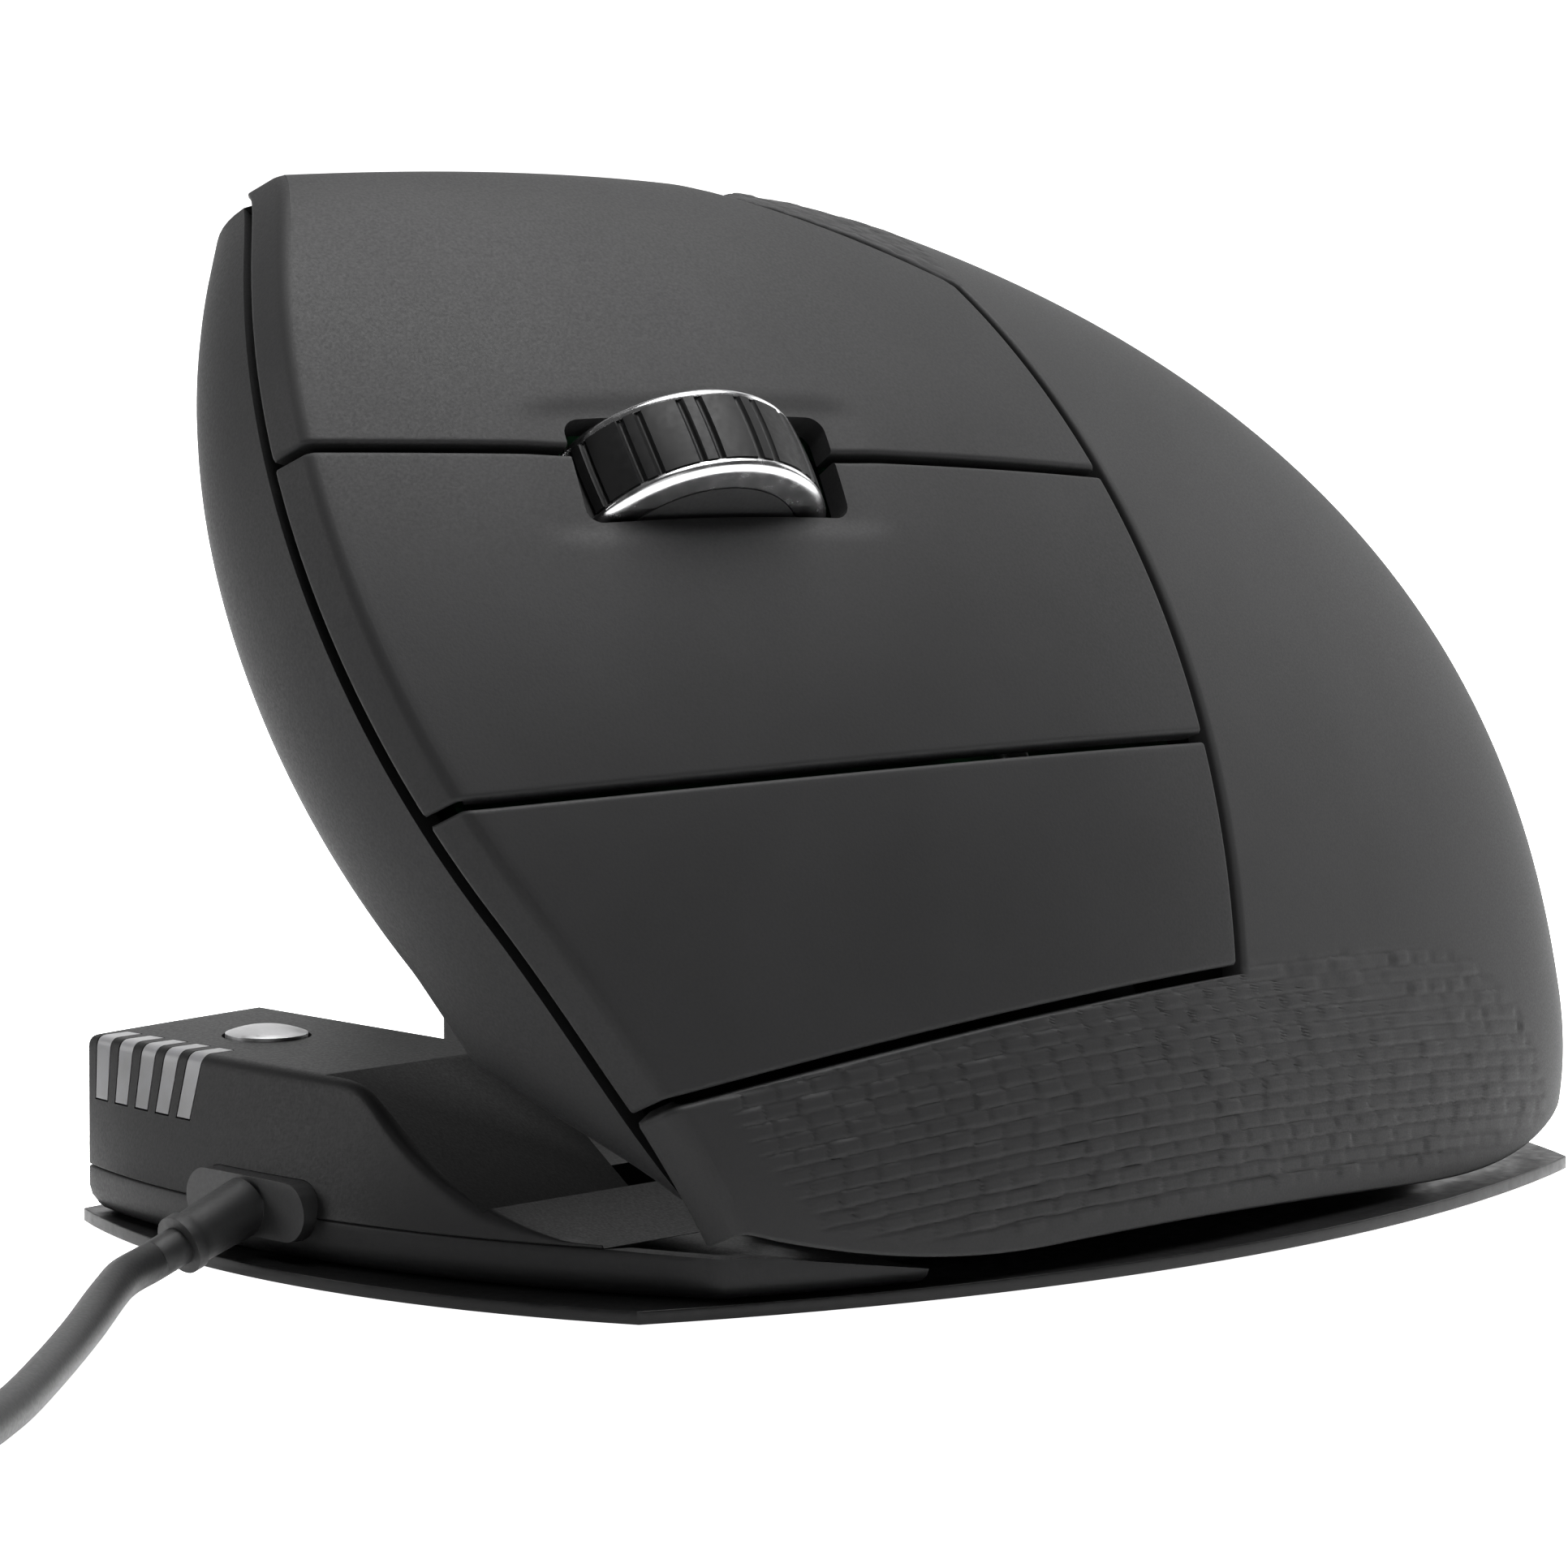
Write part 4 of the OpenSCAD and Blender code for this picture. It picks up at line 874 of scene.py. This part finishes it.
def block_column(a):
    """Section of the front block at an angle: up the wall, over a round edge, and in to the middle."""
    # The height where the leaning wall meets the roof, found in a few rounds from the top
    high = HOUSING_H
    for _ in range(12):
        x, y = wall_point(a, high)
        high = 0.5 * (high + max(roof(x), PARTING + BLOCK_LEAST))
    edge = min(BLOCK_EDGE, 0.45 * (high - PARTING))
    column = []
    for k in range(4):
        turn = math.pi / 2 * k / 4
        x, y = wall_point(a, PARTING)
        shrink = 1 - BLOCK_LIP * (1 - math.sin(turn)) / math.hypot(x, y)
        column.append((x * shrink, y * shrink, PARTING + BLOCK_LIP * (1 - math.cos(turn))))
    for k in range(9):
        z = mix(PARTING + BLOCK_LIP, high - edge, k / 8)
        column.append((*wall_point(a, z), z))
    corner_x, corner_y = wall_point(a, high)
    reach = math.hypot(corner_x, corner_y)
    start = column[-1]
    inner = (reach - edge) / reach
    stop = (corner_x * inner, corner_y * inner, roof(corner_x * inner))
    corner = (corner_x, corner_y, high)
    for k in range(1, 7):
        s = k / 6
        column.append(tuple((1 - s) ** 2 * p + 2 * s * (1 - s) * q + s * s * r
                            for p, q, r in zip(start, corner, stop)))
    for k in range(1, 40):
        share = inner * (1 - k / 40)
        column.append((corner_x * share, corner_y * share, roof(corner_x * share)))
    return column


def circle(steps):
    """Angles of equal steps round a circle."""
    return [2 * math.pi * k / steps for k in range(steps)]


def block(name):
    """Front block of the base, down to the parting line."""
    columns = [block_column(a) for a in circle(PLAN_STEPS)]
    loops = [list(row) for row in zip(*columns)]
    return loft(name, loops, (0, 0, PARTING), (0, 0, roof(0)), spot)


def box_tool(name, x, y, z, place=spot):
    outline = [(x[0], y[0]), (x[1], y[0]), (x[1], y[1]), (x[0], y[1])]
    return prism(name, outline, z[0], z[1], place)


def round_tool(name, x, y, z, d):
    outline = [(x + d / 2 * math.cos(a), y + d / 2 * math.sin(a)) for a in circle(64)]
    return prism(name, outline, z[0], z[1], spot)


def side_tool(name, outline, x):
    """Block along x over an outline of y and z."""
    return prism(name, outline, x[0], x[1], lambda y, z, along: spot(along, y, z))


def front_tool(name, outline, y):
    """Block along y over an outline of x and z."""
    return prism(name, outline, y[0], y[1], lambda x, z, along: spot(x, along, z))


def plan_outline(inset):
    """Closed plan of the base, set in from its edge."""
    outline = []
    for a in circle(PLAN_STEPS):
        r = plan_reach(a, inset)
        outline.append((r * math.cos(a), r * math.sin(a)))
    return outline


def plan_tool(name, low, high, inset):
    return prism(name, plan_outline(inset), low, high, spot)


def lean_tool(degrees):
    """Room for the hand body leaning back by an angle."""
    a = TILT - math.radians(degrees)

    def along(x, y, n):
        return spot(HINGE_X + x * math.cos(a) - n * math.sin(a), y,
                    HINGE_Z + x * math.sin(a) + n * math.cos(a))

    return box_tool("lean_tool", LEAN_UP, (-OUT_Y, BLOCK_Y - 0.6), LEAN_THROUGH, along)


def gland_tool():
    outline = rounded_box(GLAND_X - GLAND_HALF_W, GLAND_X + GLAND_HALF_W,
                          GLAND_Z - GLAND_HALF_H, GLAND_Z + GLAND_HALF_H, GLAND_HALF_H - 0.01, 10)
    return front_tool("gland_tool", outline, (40, OUT))


def bar_tools(grow):
    """Blocks at the light bars, each side larger by a gap."""
    tools = []
    for k in range(BAR_COUNT):
        x = BAR_FIRST + k * BAR_PITCH
        across = (x - BAR_W / 2 - grow, x + BAR_W / 2 + grow)
        tools.append(box_tool("bar_tool", across, (BAR_Y - grow, OUT), (BAR_Z - grow, OUT_Z)))
    return tools


def joined(name, parts):
    """One object from several separate ones."""
    work = bmesh.new()
    for part in parts:
        work.from_mesh(part.data)
        bpy.data.objects.remove(part)
    mesh = bpy.data.meshes.new(name)
    work.to_mesh(mesh)
    work.free()
    piece = bpy.data.objects.new(name, mesh)
    bpy.context.collection.objects.link(piece)
    return piece


def deck_tool():
    """Room above the low deck behind the front block, whose rear top edge is round."""
    edge = [(BLOCK_REAR_Y, DECK)]
    for k in range(9):
        a = math.pi / 2 * k / 8
        edge.append((BLOCK_REAR_Y + BLOCK_REAR_ROUND * (1 - math.cos(a)),
                     HOUSING_H - BLOCK_REAR_ROUND * (1 - math.sin(a))))
    top = [(BLOCK_REAR_Y + BLOCK_REAR_ROUND, OUT_Z), (-OUT, OUT_Z)]
    return side_tool("deck_tool", [(-OUT, DECK)] + edge + top, (-OUT, OUT))


def inside_tool():
    """Hollow of the front block."""
    shell = plan_tool("shell_tool", 0, CEILING, BASE_WALL)
    section_y = [(29, 0), (46, 0), (45.4, PARTING), (42, CEILING), (29, CEILING)]
    keep(shell, side_tool("inside_y", section_y, (-OUT, OUT)))
    section_x = [(-5, 0), (-5, 9.6), (1, CEILING), (40, CEILING), (40, 0)]
    keep(shell, front_tool("inside_x", section_x, (-OUT, OUT)))
    return shell


def under_tool():
    """Hollow below the low deck."""
    under = plan_tool("under_tool", 0, 5.2, BASE_WALL)
    keep(under, box_tool("under_box", (-6, 40), (-70, 30), (0, 9)))
    return under


def upper_housing():
    piece = block("upper_housing_fine")
    hinge_room = box_tool("hinge_room", (-OUT, HINGE_ROOM_X), (-OUT_Y, BLOCK_REAR_Y), (0, OUT_Z))
    left_room = box_tool("left_room", (-OUT, SLOPE_END_X), (-OUT_Y, OUT_Y), (0, OUT_Z))
    lean_rooms = [lean_tool(degrees) for degrees in LEAN_STEPS]
    cut(piece, deck_tool(), inside_tool(), under_tool(), hinge_room, left_room, *lean_rooms)
    button_hole = round_tool("dpi_hole", DPI_X, DPI_Y, (8, OUT_Z), DPI_D + 0.5)
    bar_last = BAR_FIRST + (BAR_COUNT - 1) * BAR_PITCH
    link_room = box_tool("link_room", (BAR_FIRST - LINK_END, bar_last + LINK_END), LINK_Y, LINK_Z)
    cut(piece, *bar_tools(BAR_GAP), button_hole, gland_tool(), link_room)
    finish_piece(piece, "base", BASE, ["upper_housing"])
    bars = joined("light_bars", bar_tools(0))
    keep(bars, block("bar_block"))
    finish_piece(bars, "base", LIGHT, ["light_guide"])


def lower_housing():
    foot = [(COVER_TOP, 2.4), (1.25, 1.9), (1.45, 1.35), (1.8, 0.95), (2.3, 0.72)]
    wall = [(z, HOUSING_INSET) for z in (BASE_FLOOR, 3.9, 4.32)]
    lip = [(4.42, 0.64), (PARTING, 0.78)]
    loops = [[(x, y, z) for x, y in plan_outline(inset)] for z, inset in foot + wall + lip]
    piece = loft("lower_housing_fine", loops, (0, 0, COVER_TOP), (0, 0, PARTING), spot)
    rim = box_tool("left_rim", (-OUT, LEFT_X), (-OUT_Y, LEFT_Y), (0, OUT_Z))
    cut(rim, plan_tool("left_plan", 0, OUT_Z + 1, 9.5))
    fall = [(21, 2.2), (33, 4), (41, PARTING), (41, OUT_Z), (21, OUT_Z)]
    run_out = side_tool("run_out", fall, (-OUT, LEFT_X))
    hollow = plan_tool("hollow", BASE_FLOOR, 6, BASE_WALL)
    left_floor = box_tool("left_floor", (-OUT, LEFT_X), (-OUT_Y, LEFT_Y), (BASE_FLOOR, OUT_Z))
    sensor_hole = round_tool("sensor_hole", SENSOR_X, SENSOR_Y, (0, 9), SENSOR_D)
    cut(piece, hollow, left_floor, rim, run_out, sensor_hole, gland_tool())
    finish_piece(piece, "base", BASE, ["lower_housing"])


upper_housing()
lower_housing()


# Cable: one curve from the boot over the table into the coil and on to the plug

CABLE_D = 2.8
LIE = CABLE_D / 2 + 0.1
COIL_LIE = LIE + 0.65
BOOT_LENGTH = 6.5
BOOT_DROOP = math.radians(19)
BOOT_WAY = Vector((0, math.cos(BOOT_DROOP), -math.sin(BOOT_DROOP)))
BOOT_Y = 48.5
BOOT_END = Vector((GLAND_X, BOOT_Y, GLAND_Z)) + BOOT_LENGTH * BOOT_WAY
COIL_X, COIL_Y, COIL_PITCH, COIL_OUT = -12, 122, 3.7, 23.4
COIL_TURNS, COIL_LAYERS, COIL_STEPS = 4, 4, 48
LAYER_SPAN = COIL_TURNS + 0.5
COIL_SIDE = COIL_X - COIL_OUT
LEAD_ROUTE = [(3.4, 61, LIE), (-1, 66, LIE), (-9, 74.5, LIE), (-18, 84.5, LIE), (-26, 94, LIE),
              (-32, 103, LIE), (COIL_SIDE, 112, COIL_LIE), (COIL_SIDE, 115, COIL_LIE),
              (COIL_SIDE, 118, COIL_LIE)]
PLUG = Vector((38, 100, 4.2))


def smooth(route, steps):
    """Round curve through route points."""
    curve = []
    last = len(route) - 1
    for i in range(last):
        a, b, c, d = route[max(i - 1, 0)], route[i], route[i + 1], route[min(i + 2, last)]
        for s in range(steps):
            k = s / steps
            curve.append(0.5 * (2 * b + (c - a) * k + (2 * a - 5 * b + 4 * c - d) * k * k
                                + (3 * b - a - 3 * c + d) * k ** 3))
    return curve + [route[last]]


def coil_point(s):
    """Point of the coil after s turns: layers wind in and out by turns and climb in the half turn between."""
    layer = min(math.floor(s / LAYER_SPAN), COIL_LAYERS - 1)
    share = s - LAYER_SPAN * layer
    inward = min(share, COIL_TURNS)
    radius = COIL_OUT - COIL_PITCH * (inward if layer % 2 == 0 else COIL_TURNS - inward)
    climb = ramp(0, 1, 2 * max(share - COIL_TURNS, 0))
    a = 2 * math.pi * s
    height = COIL_LIE + COIL_PITCH * (layer + climb)
    return Vector((COIL_X - radius * math.cos(a), COIL_Y + radius * math.sin(a), height))


def cable_path():
    """Middle line of the cable: out of the boot, round the coil, down from its top and into the plug."""
    start = [BOOT_END + k * CABLE_D * BOOT_WAY for k in (0, 0.5, 1)]
    lead = smooth(start + [Vector(place) for place in LEAD_ROUTE], 6)
    turns = COIL_LAYERS * LAYER_SPAN - 0.5
    coil = [coil_point(k / COIL_STEPS) for k in range(int(turns * COIL_STEPS) + 1)]
    top = coil[-1]
    down = [top, top + Vector((0.4, -8, -1.5)), Vector((16, 105, 9)), Vector((23, 101, 6))]
    tail = smooth(down + [PLUG - Vector((6, 0, 0)), PLUG - Vector((3, 0, 0)), PLUG], 8)
    return lead + [coil[0] - Vector((0, 1.2, 0))] + coil + tail[1:]


def cable():
    path = cable_path()
    curve = bpy.data.curves.new("cable", "CURVE")
    curve.dimensions = "3D"
    curve.bevel_depth = CABLE_D / 2 * MM
    curve.bevel_resolution = 4
    curve.use_fill_caps = True
    line = curve.splines.new("POLY")
    line.points.add(len(path) - 1)
    for point, place in zip(line.points, path):
        point.co = (*spot(*place), 1)
    line.use_smooth = True
    piece = bpy.data.objects.new("cable", curve)
    bpy.context.collection.objects.link(piece)
    finish_piece(piece, "base", RUBBER, ["cable_lead", "cable_coil"])


cable()


# Solids that keep their shape: material, and soft edges where they show

DRESS = {
    BASE: ["hinge_bracket", "thumb_rail", "thumb_carriage"],
    BACK: ["thumb_cover", "thumb_pad"],
    KEY: ["thumb_forward_key", "thumb_back_key"],
    GLOSS: ["bottom_cover"],
    GLIDE: ["glide_feet"],
    CLEAR: ["sensor_lens"],
    CHIP: ["sensor_chip", "dpi_switch", "key_switches", "wheel_switch", "thumb_switches", "wheel_encoder"],
    BOARD: ["base_board", "dpi_board", "body_board", "thumb_board"],
    SILVER: ["dpi_button"],
    STEEL: ["base_screws", "hinge_pin", "board_screws", "key_rod", "thumb_pin", "plug_shell"],
    INNER: ["hinge_washers", "body_frame", "index_lever", "middle_lever", "ring_lever", "wheel_carrier",
            "wheel_hub"],
    RUBBER: ["cable_grommet", "cable_tie", "plug_body"],
}
SOFT_EDGES = {
    "bottom_cover": 0.1, "hinge_bracket": 0.4, "cable_grommet": 0.3, "dpi_button": 0.2,
    "thumb_carriage": 0.4, "thumb_cover": 0.5, "thumb_pad": 0.5, "thumb_forward_key": 0.3,
    "thumb_back_key": 0.3,
    "plug_body": 0.8, "plug_shell": 0.15,
}
WELD_REACH = 0.000001
SOFT_EDGE_ANGLE = 30


def soften(piece, width):
    """Round edges of a given width where faces meet at a clear angle."""
    piece.modifiers.new("join", "WELD").merge_threshold = WELD_REACH
    soft = piece.modifiers.new("soft_edge", "BEVEL")
    soft.width = width * MM
    soft.segments = 3
    soft.limit_method = "ANGLE"
    soft.angle_limit = math.radians(SOFT_EDGE_ANGLE)
    soft.harden_normals = False


def dress():
    for material, names in DRESS.items():
        for name in names:
            piece = nodes[name]
            piece.data.materials.clear()
            piece.data.materials.append(material)
            if name in SOFT_EDGES:
                soften(piece, SOFT_EDGES[name])


dress()


# Floor and light, in metres and watts

STAGE, WALL_STEP = 4, 0.2
PAPER_SHADE, PAPER_GLOW = 0.9, 1.25
ROOM_GLOW = 0.06


def area_light(name, place, aim, size, power):
    data = bpy.data.lights.new(name, "AREA")
    data.shape = "DISK"
    data.size = size
    data.energy = power
    lamp = bpy.data.objects.new(name, data)
    lamp.location = place
    lamp.rotation_euler = (Vector(aim) - Vector(place)).to_track_quat("-Z", "Y").to_euler()
    bpy.context.collection.objects.link(lamp)


def glowing(name):
    """Matte white paper that also gives some light of its own."""
    material, tree, shader = new_material(name)
    paper = tinted(tree, noise(tree, 60), [0.97 * PAPER_SHADE] * 3, [PAPER_SHADE] * 3)
    tree.links.new(paper, shader.inputs["Base Color"])
    tree.links.new(paper, shader.inputs["Emission Color"])
    shader.inputs["Emission Strength"].default_value = PAPER_GLOW
    shader.inputs["Roughness"].default_value = 0.9
    shader.inputs["Specular IOR Level"].default_value = 0.1
    return material


def sheet(name, corners, material):
    """Flat stage sheet that shows and is mirrored, without lighting the object from below or behind."""
    piece = make(name, [Vector(c) for c in corners], [(0, 1, 2, 3)])
    piece.data.materials.append(material)
    piece.visible_diffuse = False


def studio():
    square = [(-1, -1), (1, -1), (1, 1), (-1, 1)]
    sheet("floor", [(STAGE * x, STAGE * y, 0) for x, y in square], glowing("floor_paper"))
    wall = Matrix.Rotation(AZIMUTH, 3, "Z")
    low, high = -0.1, STAGE
    upright = [(-STAGE, low), (STAGE, low), (STAGE, high), (-STAGE, high)]
    sheet("wall", [wall @ Vector((x, STAGE - WALL_STEP, z)) for x, z in upright], glowing("wall_paper"))
    world = bpy.data.worlds.new("room")
    world.use_nodes = True
    room = world.node_tree.nodes["Background"]
    room.inputs["Color"].default_value = (1, 1, 1, 1)
    room.inputs["Strength"].default_value = ROOM_GLOW
    bpy.context.scene.world = world
    area_light("top_light", (-0.12, -0.1, 0.9), (0, 0, 0.04), 0.9, 23)
    area_light("front_light", (0.65, 0.75, 0.35), (0, 0, 0.03), 0.5, 4.5)
    area_light("rear_light", (-0.2, -0.95, 0.4), (0, 0, 0.04), 0.5, 2.5)
    area_light("fill_light", (-0.6, 0.6, 0.15), (0, 0, 0.02), 0.5, 0.6)
    bpy.context.scene.view_settings.view_transform = "Standard"


studio()
